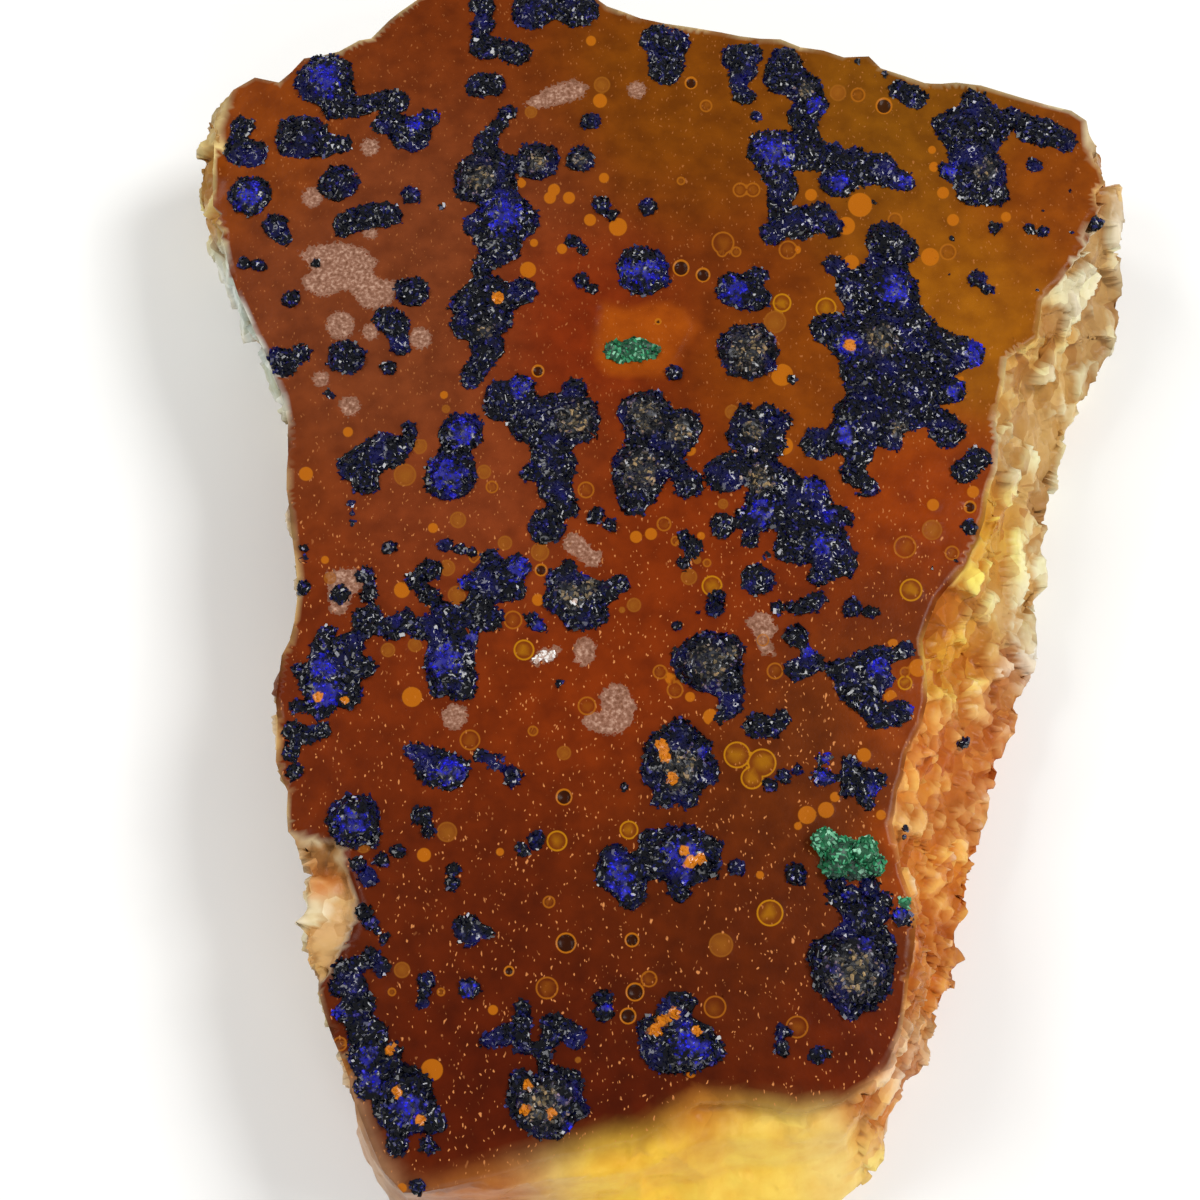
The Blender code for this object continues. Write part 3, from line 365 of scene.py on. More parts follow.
# round spherulites in the face: kind, then (x, y, radius)
marks = {
    "orange": [
        (554, 190, 6), (550, 198, 6), (569, 198, 6), (618, 227, 9), (600, 101, 7), (604, 178, 5),
        (521, 183, 5), (590, 220, 6), (562, 249, 5), (534, 243, 4), (528, 270, 8), (811, 195, 6),
        (851, 263, 8), (930, 257, 9), (953, 220, 6), (943, 193, 6), (934, 167, 5), (932, 150, 4),
        (1006, 217, 5), (782, 375, 11), (690, 450, 6), (678, 466, 6), (784, 446, 9), (636, 537, 6),
        (651, 534, 6), (701, 536, 4), (909, 357, 8), (957, 380, 7), (807, 507, 11), (933, 505, 6),
        (973, 492, 6), (306, 474, 7), (348, 432, 5), (433, 528, 5), (444, 395, 4), (325, 560, 4),
        (402, 590, 8), (538, 600, 6), (412, 697, 10), (711, 717, 8), (690, 697, 5), (424, 855, 7),
        (500, 852, 4), (493, 1010, 5), (402, 1188, 5), (760, 875, 4), (691, 1073, 5), (893, 645, 6),
        (918, 668, 9), (890, 697, 7), (807, 815, 9), (826, 810, 8), (798, 826, 4), (835, 797, 5),
        (881, 815, 5), (432, 1070, 11), (797, 250, 4), (860, 205, 12), (846, 226, 9), (672, 678, 7),
        (591, 41, 5), (864, 755, 7)],
    "ochre": [
        (602, 85, 8), (531, 112, 6), (838, 93, 8), (775, 322, 11), (732, 412, 7), (723, 504, 5),
        (540, 552, 9), (932, 530, 10), (419, 446, 8), (405, 475, 11), (484, 472, 7), (458, 520, 8),
        (505, 543, 7), (446, 409, 4), (447, 568, 8), (457, 595, 9), (330, 578, 6), (634, 605, 7),
        (457, 625, 7), (388, 650, 7), (415, 645, 7), (564, 753, 7), (447, 832, 10), (363, 845, 8),
        (402, 970, 8), (348, 1066, 10), (721, 945, 12), (622, 610, 3), (578, 1060, 3), (689, 577, 8),
        (697, 560, 4)],
    "glassy": [
        (557, 841, 10), (770, 913, 13), (762, 763, 14), (752, 778, 11), (737, 755, 13), (826, 308, 10),
        (911, 590, 11), (782, 303, 9), (905, 683, 7), (524, 650, 10), (629, 830, 9), (712, 586, 10)],
    "ring": [
        (706, 106, 6), (681, 181, 4), (722, 252, 5), (736, 252, 5), (723, 243, 11), (740, 190, 7),
        (753, 190, 7), (858, 95, 7), (948, 252, 8), (895, 220, 7), (788, 250, 9), (586, 490, 8),
        (664, 524, 7), (676, 541, 5), (905, 547, 11), (952, 553, 7), (905, 672, 5), (492, 487, 6),
        (475, 557, 6), (513, 620, 9), (707, 563, 4), (660, 672, 7), (675, 690, 8), (775, 671, 8),
        (533, 731, 5), (470, 740, 10), (547, 988, 11), (549, 902, 6), (392, 992, 4), (340, 1044, 7),
        (649, 979, 8), (715, 1007, 11), (797, 1027, 11), (441, 992, 4), (587, 706, 9), (763, 640, 6)],
    "pit": [
        (691, 83, 6), (884, 106, 8), (681, 268, 8), (703, 275, 7), (538, 371, 6), (658, 323, 3),
        (970, 507, 6), (541, 570, 6), (564, 797, 8), (566, 943, 10), (509, 971, 5), (632, 940, 7),
        (635, 992, 9), (628, 1016, 8)],
}
# how each kind looks: fill colour and strength, line colour and strength, relief in mm, golden heart
markLooks = {
    "orange": ("#B2620A", 0.85, "#A4600A", 0.2, 0.02, 0.0),
    "ochre": ("#8C4E12", 0.6, "#985C16", 0.35, 0.01, 0.35),
    "glassy": ("#7C3E06", 0.55, "#B07408", 0.9, 0.03, 0.5),
    "ring": ("#6A3006", 0.3, "#A05C10", 0.75, 0.0, 0.3),
    # pit: its near-black fill is painted shade in the hollow
    "pit": ("#2A0F02", 0.9, "#B0660E", 0.9, -1.0, 0.0),
}
# pale quartz laid bare low on the left
notchOutline = [(290, 836), (320, 838), (342, 838), (344, 858), (352, 882), (358, 902), (352, 926),
                (340, 948), (331, 972), (318, 988), (290, 985)]

# the orange chip round the small malachite
chipOutline = [(597, 300), (614, 302), (632, 305), (658, 307), (688, 312), (697, 324), (690, 338), (683, 352),
               (674, 366), (652, 373), (628, 374), (606, 371), (595, 354), (594, 326)]
chipColour = "#9A4606"
orangeGrains = [(498, 298, 6), (318, 697, 5), (528, 1085, 5), (662, 745, 6), (665, 755, 6), (672, 778, 6),
                (655, 1030, 6), (675, 1013, 6), (663, 1020, 6), (697, 1030, 5), (820, 310, 4), (850, 345, 6),
                (690, 862, 6), (684, 850, 5), (700, 858, 5), (525, 1110, 5), (552, 1113, 5), (390, 1050, 5),
                (397, 1092, 5), (420, 1120, 5), (345, 700, 4)]


# signed distance in pixels to a closed outline, below 0 inside it
def outlineDistance(spots, outline):
    corners = np.array(outline, float)
    best = np.full(len(spots), 1e9)
    inside = np.zeros(len(spots), bool)
    for (ax, ay), (bx, by) in zip(corners, np.roll(corners, -1, axis=0)):
        run = np.array((bx - ax, by - ay))
        off = spots - (ax, ay)
        share = np.clip(off @ run / (run @ run), 0.0, 1.0)
        best = np.minimum(best, np.linalg.norm(off - share[:, None] * run, axis=1))
        rise = by - ay if by != ay else 1e-9
        crosses = (ay > spots[:, 1]) != (by > spots[:, 1])
        inside ^= crosses & (spots[:, 0] < (bx - ax) * (spots[:, 1] - ay) / rise + ax)
    return np.where(inside, -best, best)


# signed distance in mm to the nearest tan patch
def patchDistance(spots):
    best = np.full(len(spots), 1e9)
    for outline in patchOutlines:
        best = np.minimum(best, outlineDistance(spots, outline))
    for x, y, reach in patchSpots:
        best = np.minimum(best, np.hypot(spots[:, 0] - x, spots[:, 1] - y) - reach)
    return best / photoView["pixelsPerMm"]


allMarks = [(kind, *place) for kind in marks for place in marks[kind]]


# signed distance in mm to the nearest spherulite, and which one it is
def markDistance(spots):
    best = np.full(len(spots), 1e9)
    nearest = np.zeros(len(spots), int)
    for number, (_, x, y, reach) in enumerate(allMarks):
        distance = np.hypot(spots[:, 0] - x, spots[:, 1] - y) - reach
        closer = distance < best
        best[closer] = distance[closer]
        nearest[closer] = number
    return best / photoView["pixelsPerMm"], nearest


# the rim of the smooth face, as reach and height at each angle round the slab's middle
def findRim(work):
    def isFace(f):
        return f.normal.z > 0.9 and f.calc_center_median().z > 16.5 * mm
    cx, cy = (value * mm for value in slab["middle"])
    rim = set()
    for edge in work.edges:
        if len(edge.link_faces) == 2 and isFace(edge.link_faces[0]) != isFace(edge.link_faces[1]):
            rim.update(edge.verts)
    places = np.array([tuple(vert.co) for vert in rim])
    # the chip's edge lies inside the face and is no rim
    places = places[outlineDistance(toPixels(places), chipOutline) > slab["chipMargin"]]
    dx, dy = places[:, 0] - cx, places[:, 1] - cy
    rows = np.stack([np.arctan2(dy, dx), np.hypot(dx, dy), places[:, 2]], axis=1)
    return rows[np.argsort(rows[:, 0], kind="stable")]


slabWork = mergedCopy("matrix")
rimLine = findRim(slabWork)
slabTree = BVHTree.FromBMesh(slabWork)
crustNodes = sorted(name for name in frame["nodes"] if name != "matrix")


# how far inside the rim a place lies, and how far below it, in mm
def rimPlace(places):
    cx, cy = (value * mm for value in slab["middle"])
    dx, dy = places[:, 0] - cx, places[:, 1] - cy
    angle = np.arctan2(dy, dx)
    reach = np.interp(angle, rimLine[:, 0], rimLine[:, 1], period=math.tau)
    height = np.interp(angle, rimLine[:, 0], rimLine[:, 2], period=math.tau)
    return (reach - np.hypot(dx, dy)) / mm, (height - places[:, 2]) / mm


def solidsTree(names):
    work = bmesh.new()
    for name in names:
        work.from_mesh(frame["nodes"][name].data)
    tree = BVHTree.FromBMesh(work)
    work.free()
    return tree


coverTree = solidsTree(crustNodes)


def isCovered(places):
    up = Vector((0, 0, 1))
    low = Vector((0, 0, -0.2 * mm))
    return np.array([coverTree.ray_cast(Vector(p) + low, up, 4 * mm)[0] is not None for p in places])


def slabEdges(middles):
    inner, drop = rimPlace(middles)
    spots = toPixels(middles)
    onFace = (inner > 0) & (drop < slab["faceDrop"])
    near = np.minimum(np.abs(markDistance(spots)[0]), np.abs(patchDistance(spots)))
    wanted = np.where(onFace, slab["faceEdge"], slab["wallEdge"])
    wanted = np.where(onFace & (near < slab["nearMark"]), slab["markEdge"], wanted)
    checked = np.nonzero(onFace & (inner > 1.0))[0]
    hidden = isCovered(middles[checked])
    wanted[checked[hidden]] = slab["hiddenEdge"]
    wanted = np.where(middles[:, 2] < slab["nearBase"] * mm, slab["baseEdge"], wanted)
    return wanted * mm * 1.0


def blendedStain(spots, table):
    total = np.zeros((len(spots), 3))
    weights = np.zeros(len(spots))
    for x, y, reach, colour in table.values():
        distance = ((spots[:, 0] - x) ** 2 + (spots[:, 1] - y) ** 2) / reach ** 2
        weight = np.exp(-distance) if reach < 1000 else np.full(len(spots), 0.12)
        total += weight[:, None] * np.array(linear(colour))
        weights += weight
    return total / weights[:, None]


# height of broken blocks: each cell has its own level and its own slope
def blockHeight(place, size):
    _, points = noise.voronoi(place / size)
    seed = points[0]
    level = noise.cell(seed * 7.31 + Vector((3.7, 1.9, 5.3)))
    slope = noise.cell_vector(seed * 5.17 + Vector((0.7, 9.1, 2.3))) - Vector((0.5, 0.5, 0.5))
    return level - 0.5 + 1.3 * slope.dot(place / size - seed)


def fractal(place, size, octaves=3):
    return noise.fractal(place / size, 1.0, 2.0, octaves)


# relief of the broken walls in mm: blocks, the crystals in them, and a fine grain
def wallRelief(places, broken, granular):
    relief = np.zeros(len(places))
    for i in np.nonzero(broken > 0.01)[0]:
        place = Vector(places[i]) / mm
        blocks = slab["blockDepth"] * (1.1 - 0.5 * granular[i]) * blockHeight(place, slab["blockSize"])
        chunks = slab["chunkDepth"] * (0.7 + granular[i]) * blockHeight(place, slab["chunkSize"])
        grains = slab["grainDepth"] * fractal(place, slab["grainSize"])
        relief[i] = broken[i] * (blocks + chunks + grains - 0.15)
    return relief


# relief of the smooth face in mm: pits, domes and lips of the marks, soft swells, the worn chip
def faceRelief(places, spots, distance, looks, patches, swell):
    depth = np.array([look[4] for look in looks])
    hollow = np.where(depth < 0, -slab["pitDepth"] * (1 - ramp(distance, -0.4, 0.0)), 0.0)
    dome = np.where(depth > 0, depth * (1 - ramp(distance, -0.3, 0.05)), 0.0)
    lip = slab["lipHeight"] * np.clip(1.0 - np.abs(distance) / slab["lipWidth"], 0, 1)
    sunken = slab["patchSink"] * (1 - ramp(patches, -0.2, 0.1))
    across = (places[:, 0] / mm - slab["crownMiddle"][0]) / slab["crownWidths"][0]
    along = (places[:, 1] / mm - slab["crownMiddle"][1]) / slab["crownWidths"][1]
    level = slab["faceLevel"] + slab["crown"] * (0.5 - across ** 2 - along ** 2)
    nearChip = outlineDistance(spots, chipOutline) < slab["chipReach"]
    worn = np.clip(level - places[:, 2] / mm - slab["chipRest"], 0.0, 1.0)
    relief = hollow + dome + lip + slab["swellDepth"] * swell - sunken
    return relief + slab["chipFill"] * worn * nearChip


def buildSlab():
    refine(slabWork, slabEdges, 6)
    mesh = bpy.data.meshes.new("stained_quartz_slab")
    slabWork.to_mesh(mesh)
    places = coordinates(mesh)
    normals = np.array([v.normal for v in slabWork.verts])
    inner, drop = rimPlace(places)
    warp = np.array([noise.noise_vector(Vector(p) / (slab["warpSize"] * mm)) for p in places])
    swell = np.array([noise.noise(Vector(p) / (slab["swellSize"] * mm)) for p in places])
    spots = toPixels(places)
    columns, rows = spots[:, 0], spots[:, 1]
    warped = spots + slab["stainWander"] * warp[:, :2]
    topSide = (inner > 0) & (drop < slab["faceDrop"])
    wall = np.where(topSide, 0.0, ramp(np.hypot(inner, drop), 0.0, 0.9))
    base = 1.0 - ramp(places[:, 2] / mm, 0.0, 0.6)
    # the near end is smooth, the rest of the walls is broken
    smoothEnd = ramp(rows, *slab["smoothRows"]) * (1 - ramp(columns, *slab["smoothColumns"]))
    smoothEnd = smoothEnd * ramp(places[:, 2] / mm, *slab["smoothHeights"])
    # low on the left a pale broken notch bites into the face
    wandering = spots + slab["notchWander"] * warp[:, :2]
    notch = 1.0 - ramp(outlineDistance(wandering, notchOutline), -4.0, 1.0)
    notch = notch * (places[:, 2] > slab["notchFloor"] * mm)
    wall = np.maximum(wall, notch)
    broken = wall * (1.0 - base) * (1.0 - 0.9 * smoothEnd)
    granular = ramp(rows, *slab["granularRows"]) * (1 - ramp(rows, *slab["granularEnd"]))
    granular = granular * (columns > slab["granularColumn"])
    distance, nearest = markDistance(spots)
    patches = patchDistance(spots)
    looks = [markLooks[allMarks[n][0]] for n in nearest]
    onFace = (wall < 0.01) & (inner > 0) & (base < 0.01)
    low = faceRelief(places, spots, distance, looks, patches, swell) * ramp(inner, 0.0, 0.5)
    relief = np.where(onFace, low, wallRelief(places, broken, granular))
    moved = places + normals * relief[:, None] * mm
    moved = np.clip(moved, np.array(cadBox[0]), np.array(cadBox[1]))
    underside = places[:, 2] < slab["underside"] * mm
    moved[underside] = places[underside]
    mesh.vertices.foreach_set("co", moved.astype(np.float32).ravel())
    softness = slab["softRim"] * ramp(rows, *slab["softRows"])
    softness = slab["sharpRim"] + softness * (1 - ramp(columns, *slab["softColumns"]))
    edge = ramp((-inner + 0.5 * warp[:, 2] + 0.3 * swell) / softness, -1.0, 1.0)
    edge = np.where(drop > slab["faceDrop"], 1.0, edge)
    edge = np.maximum(edge, notch)
    stain = blendedStain(warped, stains) ** slab["stainDepth"] * np.array(slab["stainTint"])
    chip = slab["chipStrength"] * (1.0 - ramp(outlineDistance(warped, chipOutline), -8.0, 6.0))
    stain = stain + chip[:, None] * (np.array(linear(chipColour)) - stain)
    stain = stain + edge[:, None] * (blendedStain(warped, wallStains) - stain)
    setColours(mesh, "stain", stain)
    setNumbers(mesh, "wall", edge)
    # depth of the broken walls: the shader darkens the hollows with rust colour and painted shade
    setNumbers(mesh, "cavity", np.clip(relief / slab["blockDepth"], -1, 1) * broken)
    setNumbers(mesh, "patch", np.where(edge > 0.5, 9.0, patches))
    setNumbers(mesh, "mark", np.where(edge > 0.6, 9.0, distance))
    setNumbers(mesh, "smoothEnd", smoothEnd)
    reach = np.array([allMarks[n][3] for n in nearest]) / photoView["pixelsPerMm"]
    heart = np.array([look[5] for look in looks])
    setNumbers(mesh, "core", heart * (1 - ramp(distance / reach, -0.5, -0.34)) * (edge < 0.6))
    setColours(mesh, "markFill", np.array([(*linear(look[0]), look[1]) for look in looks]))
    setColours(mesh, "markLine", np.array([(*linear(look[2]), look[3]) for look in looks]))
    # the flecks and their painted glints grow denser down the face
    grit = 0.35 + 0.65 * ramp(rows, *slab["fleckAndGlintRows"])
    setNumbers(mesh, "grit", grit * (1 - edge))
    mesh.validate()
    mesh.shade_smooth()
    mesh.set_sharp_from_angle(angle=math.radians(slab["sharpAngle"]))
    slabWork.free()
    newPiece("stained_quartz_slab", mesh, "quartz", "matrix")
    mesh.materials.append(stainedQuartz())
    print("slab:", len(mesh.polygons), "triangles")


# chalcedony quartz with iron stain: glossy smooth face full of tiny pale flecks that are partly crystal and
# partly painted glints, waxy broken walls
def stainedQuartz():
    material, tree, shader = newMaterial("ironStainedQuartz", 0.3, 1.54, 0.08)
    mix = "ShaderNodeMix"
    sums = "ShaderNodeMath"
    rescale = "ShaderNodeMapRange"
    plain = {"data_type": "RGBA"}
    where = addNode(tree, "ShaderNodeTexCoord").outputs["Object"]
    mottle = addNode(tree, "ShaderNodeTexNoise", {2: perMillimetre(2.4), 3: 5.0}, {0: where})
    fine = addNode(tree, "ShaderNodeTexNoise", {2: perMillimetre(0.35), 3: 3.0}, {0: where})
    named = {}
    names = ("stain", "wall", "cavity", "patch", "mark", "core", "grit", "markFill", "markLine", "smoothEnd")
    for name in names:
        named[name] = addNode(tree, "ShaderNodeAttribute", {"attribute_name": name})
    clouds = {"stops": [(0.32, "#8C8C8C"), (0.68, "#D2D2D2")]}
    cloud = addNode(tree, "ShaderNodeValToRGB", clouds, {0: mottle})
    soft = {"data_type": "RGBA", "blend_type": "SOFT_LIGHT"}
    colour = addNode(tree, mix, {**soft, 0: 0.6}, {6: named["stain"], 7: cloud})
    # broken quartz: each block of the wall is its own tone; hollows are darker and rust-coloured, partly iron
    # stain and partly painted shade; raised places are paler
    cells = addNode(tree, "ShaderNodeTexVoronoi", {2: perMillimetre(2.6)}, {0: where})
    tones = {"stops": [(0.2, "#9C9070"), (0.5, "#BCBCB4"), (0.8, "#F0EEE0")]}
    tone = addNode(tree, "ShaderNodeValToRGB", tones, {0: cells.outputs["Color"]})
    walls = addNode(tree, mix, {"data_type": "RGBA", "blend_type": "OVERLAY", 0: 0.6}, {6: colour, 7: tone})
    deep = addNode(tree, rescale, {1: -0.05, 2: -0.75, 3: 0.0, 4: 0.75}, {0: named["cavity"]})
    rustAndShade = {"data_type": "RGBA", "blend_type": "MULTIPLY", 7: "#D0942E"}
    walls = addNode(tree, mix, rustAndShade, {0: deep, 6: walls})
    high = addNode(tree, rescale, {1: 0.1, 2: 0.7, 3: 0.0, 4: 0.5}, {0: named["cavity"]})
    walls = addNode(tree, mix, {**plain, 7: "#F8ECD2"}, {0: high, 6: walls})
    broken = addNode(tree, rescale, {1: 0.0, 2: 1.0, 3: 1.0, 4: 0.1}, {0: named["smoothEnd"]})
    broken = addNode(tree, sums, {"operation": "MULTIPLY"}, {0: broken, 1: named["wall"]})
    colour = addNode(tree, mix, plain, {0: broken, 6: colour, 7: walls})
    # flecks: short curved pale streaks in the smooth face, partly clear quartz and partly painted glints
    bent = addNode(tree, "ShaderNodeTexNoise", {2: perMillimetre(1.1)}, {0: where})
    bend = {"operation": "SCALE", 3: 0.9 * mm}
    bent = addNode(tree, "ShaderNodeVectorMath", bend, {0: bent.outputs["Color"]})
    bent = addNode(tree, "ShaderNodeVectorMath", {"operation": "ADD"}, {0: where, 1: bent})
    for size, reach, turn in slab["flecksAndGlints"]:
        turned = addNode(tree, "ShaderNodeMapping", {2: (0.0, 0.0, turn), 3: (1.0, 0.45, 1.0)}, {0: bent})
        dots = addNode(tree, "ShaderNodeTexVoronoi", {2: perMillimetre(size)}, {0: turned})
        near = addNode(tree, rescale, {1: reach * 1.35, 2: reach * 0.75}, {0: dots.outputs["Distance"]})
        picked = addNode(tree, rescale, {1: 0.42, 2: 0.62}, {0: dots.outputs["Color"]})
        fleckAndGlint = addNode(tree, sums, {"operation": "MULTIPLY"}, {0: near, 1: picked})
        fleckAndGlint = addNode(tree, sums, {"operation": "MULTIPLY"}, {0: fleckAndGlint, 1: named["grit"]})
        colour = addNode(tree, mix, {**plain, 7: "#C88048"}, {0: fleckAndGlint, 6: colour})
    # flat tan quartz, with a ragged edge
    ragged = addNode(tree, rescale, {1: 0.3, 2: 0.7, 3: -0.3, 4: 0.3}, {0: fine})
    ragged = addNode(tree, sums, {"operation": "ADD"}, {0: ragged, 1: named["patch"]})
    patch = addNode(tree, rescale, {1: 0.06, 2: -0.06, 3: 0.0, 4: 0.85}, {0: ragged})
    tans = {"stops": [(0.3, "#6E4A36"), (0.52, "#946C58"), (0.72, "#C8A48E")]}
    tan = addNode(tree, "ShaderNodeValToRGB", tans, {0: fine})
    colour = addNode(tree, mix, plain, {0: patch, 6: colour, 7: tan})
    # spherulites: a filled disc, a golden heart and a fine line round it; a pit's near-black fill is painted
    # shade
    fill = addNode(tree, rescale, {1: 0.03, 2: -0.05}, {0: named["mark"]})
    fill = addNode(tree, sums, {"operation": "MULTIPLY"}, {0: fill, 1: named["markFill"].outputs["Alpha"]})
    colour = addNode(tree, mix, plain, {0: fill, 6: colour, 7: named["markFill"]})
    colour = addNode(tree, mix, plain, {0: named["core"], 6: colour, 7: named["markLine"]})
    line = addNode(tree, sums, {"operation": "ADD", 1: 0.04}, {0: named["mark"]})
    line = addNode(tree, sums, {"operation": "ABSOLUTE"}, {0: line})
    line = addNode(tree, rescale, {1: 0.12, 2: 0.05}, {0: line})
    line = addNode(tree, sums, {"operation": "MULTIPLY"}, {0: line, 1: named["markLine"].outputs["Alpha"]})
    colour = addNode(tree, mix, plain, {0: line, 6: colour, 7: named["markLine"]})
    tree.links.new(colour.outputs[2], shader.inputs["Base Color"])
    bump = addNode(tree, "ShaderNodeBump", {0: 0.35, 1: 0.05 * mm}, {"Height": fine})
    tree.links.new(bump.outputs[0], shader.inputs["Normal"])
    return material


buildSlab()

# azurite: readings on the crusts, then their sizes in mm
velvet = [
    (250, 196, 18), (325, 78, 22), (415, 123, 10), (437, 118, 9),
    (505, 215, 24), (630, 272, 14), (655, 272, 14),
    (643, 272, 16), (815, 105, 12), (775, 153, 24), (838, 182, 14), (905, 182, 10), (950, 170, 11),
    (461, 432, 18), (447, 477, 22), (520, 388, 14), (760, 512, 18), (735, 290, 16), (895, 290, 20),
    (850, 345, 16), (975, 350, 14), (972, 365, 10), (955, 390, 12), (845, 435, 14), (815, 488, 14),
    (830, 515, 8), (822, 545, 14), (325, 668, 18), (325, 692, 20),
    (465, 583, 9), (518, 567, 16), (538, 625, 9),
    (445, 660, 22), (473, 637, 9), (450, 772, 18), (352, 820, 20), (825, 758, 10), (825, 776, 10),
    (872, 790, 8), (880, 668, 13), (912, 708, 8), (808, 652, 8),
    (585, 575, 7), (690, 850, 14), (672, 850, 12),
    (682, 870, 14), (620, 872, 18), (622, 888, 14), (469, 989, 11), (366, 1055, 12), (370, 1082, 16),
    (408, 1110, 20), (340, 1010, 9), (608, 1008, 7), (685, 1040, 18), (698, 1050, 16), (570, 1128, 9),
    (560, 1100, 8), (835, 970, 10), (865, 945, 9), (900, 912, 9), (704, 672, 4), (703, 752, 8), (845, 895, 6)]
dust = [
    (480, 176, 20), (539, 162, 13), (580, 160, 9), (485, 330, 11),
    (805, 90, 11), (985, 170, 14), (575, 420, 22),
    (645, 415, 22), (680, 430, 18), (640, 470, 24), (760, 480, 18), (749, 350, 27), (880, 340, 20),
    (568, 592, 14), (590, 588, 14), (575, 602, 12), (708, 664, 26), (731, 652, 10), (680, 765, 24),
    (664, 750, 9), (675, 785, 9), (853, 970, 34), (545, 1105, 28), (390, 1050, 7), (420, 1120, 6),
    (752, 430, 14), (900, 430, 12)]
malachiteShade = [(835, 880, 14), (855, 880, 14), (874, 884, 12)]
# white grains of quartz, partly painted glints
quartzGrainsAndGlints = [(537, 660, 6), (545, 656, 7), (553, 654, 5), (755, 450, 4), (740, 478, 3), (573, 602, 4)]
malachiteLobes = [(825, 840, 13), (838, 852, 15), (834, 868, 12), (866, 850, 14), (876, 864, 11),
                  (905, 905, 8)]
lowAzurite = [(836, 884, 11), (852, 894, 10), (870, 888, 12), (886, 898, 9)]
smallAzurite = [
    (-18.9, 40.5, 1.2), (-35.7, 33.6, .9), (-34.1, 33.5, 1.0), (-30.8, 30.1, 1.1), (-.9, 47.9, 1.2),
    (.2, 39.4, 1.2), (1.2, 38.5, .8), (4.8, 39.3, 1.2), (-2.7, 35.9, 1.0), (-1.7, 35, .8), (-1.8, 31.9, 1.0),
    (-.8, 31.1, .9), (39.5, 37.2, .9), (43.4, 43.5, 1.1), (43, 37.1, .9), (44.1, 36.9, .8), (37.8, 32.1, 1.2),
    (38.7, 31, .9), (49.6, 37.7, .9), (15.7, 48.3, .8), (-21.1, 23.2, 1.0), (-27, 20.6, .6), (-21.1, 5.2, .9),
    (-15.3, 5.5, .9), (-14, 5.1, .9), (-12.8, 4.8, .7), (-29.6, 5.2, .6), (-29.8, 4, .6), (-29.6, 1.2, .9),
    (-.3, 8.4, 1.0), (1, 7.5, .9), (7.3, 22.7, 1.1), (36.9, 7.2, 1.0), (-26, .5, 1.0), (25.2, -.8, 1.2),
    (26.8, -1.2, .8), (27.5, -1.2, .6), (17.1, -18.5, .9), (18.4, -17.6, .9), (19.7, -17.1, .7),
    (13.6, -26.7, 1.0), (-6.3, -24, 1.1), (-7.8, -25, .9), (-21.8, -26, .9), (-20.2, -25.1, .9),
    (-24.2, -26.5, 1.0), (-23.2, -27.7, 1.1), (-14.6, -27, .9), (-14.7, -28.3, .9), (-23.6, -31.2, 1.0),
    (-23, -32.3, .9), (-22.3, -33.1, .6), (-21.5, -33.8, .7), (-17.3, -38, .9), (-17.6, -39.2, .8),
    (-17.7, -40.4, .8), (.3, -39.8, 1.0), (.5, -41.2, 1.1), (18.4, -43.2, .9), (18.2, -44.7, .9),
    (21.7, -45.5, 1.0), (22.7, -45.4, .6), (19.6, -27.5, 1.2), (36.3, -14.3, .7), (30.5, -22.9, .45),
    (30.4, -23.7, .45), (-18.3, -58.5, .8), (7.6, -2.5, .7), (-15.7, 39.3, .5), (-28.4, 33.6, .6),
    (25.7, 53.8, .5), (28.5, 52.6, .4), (27.3, 39.8, .4), (35.2, 36.1, .4), (34.9, 32.5, .3), (47, 36.8, .3),
    (44.4, 38.9, .3), (47, 40.8, .3), (43.7, 31, .4), (-25, 9.6, .4), (-24.9, 8.7, .4), (-24.8, 7.5, .4),
    (-4, -8.3, .5), (2.5, -18.8, .5), (19.3, 22, .6), (16.6, 4.4, .5), (9.9, -1.2, .4), (35.5, 4, .3),
    (33.2, 3.3, .3)]
crust = {
    "edge": 0.5,             # triangle side of the lumpy bed
    "settle": 0.36,          # the bed sinks to the face it grew on
    "lumpSize": 1.0,
    "lumpDepth": 0.32,
    "lumpShares": (0.6, 0.5, 0.25),   # of soft lumps, of chunks, and what is taken off again
    "spacing": 0.3,          # between crystals
    "crystal": (0.5, 0.3, 0.2),
    "chisel": (0.72, 0.3),   # how narrow its top is
    "tilt": 0.95,
    "velvetShrink": 0.4,     # crystals of the blue velvet are this much smaller
    "flatness": 0.55,        # height of a small growth against its radius
    "draftFactor": 1.6,
}


# strength 0 to 1 of round soft spots at photo pixels
def spotStrength(spots, places, soft=0.55):
    best = np.zeros(len(spots))
    for x, y, reach in places:
        distance = np.hypot(spots[:, 0] - x, spots[:, 1] - y) / reach
        best = np.maximum(best, 1.0 - ramp(distance, soft, 1.25))
    return best


# a little tabular crystal with a chisel top
def makeCrystal():
    work = bmesh.new()
    bmesh.ops.create_cube(work, size=1.0)
    for vert in work.verts:
        if vert.co.z > 0:
            vert.co.x *= crust["chisel"][0]
            vert.co.y *= crust["chisel"][1]
    bmesh.ops.scale(work, vec=[s * mm for s in crust["crystal"]], verts=work.verts)
    mesh = bpy.data.meshes.new("crystal")
    work.to_mesh(mesh)
    work.free()
    crystal = bpy.data.objects.new("crystal", mesh)
    bpy.context.scene.collection.objects.link(crystal)
    return crystal


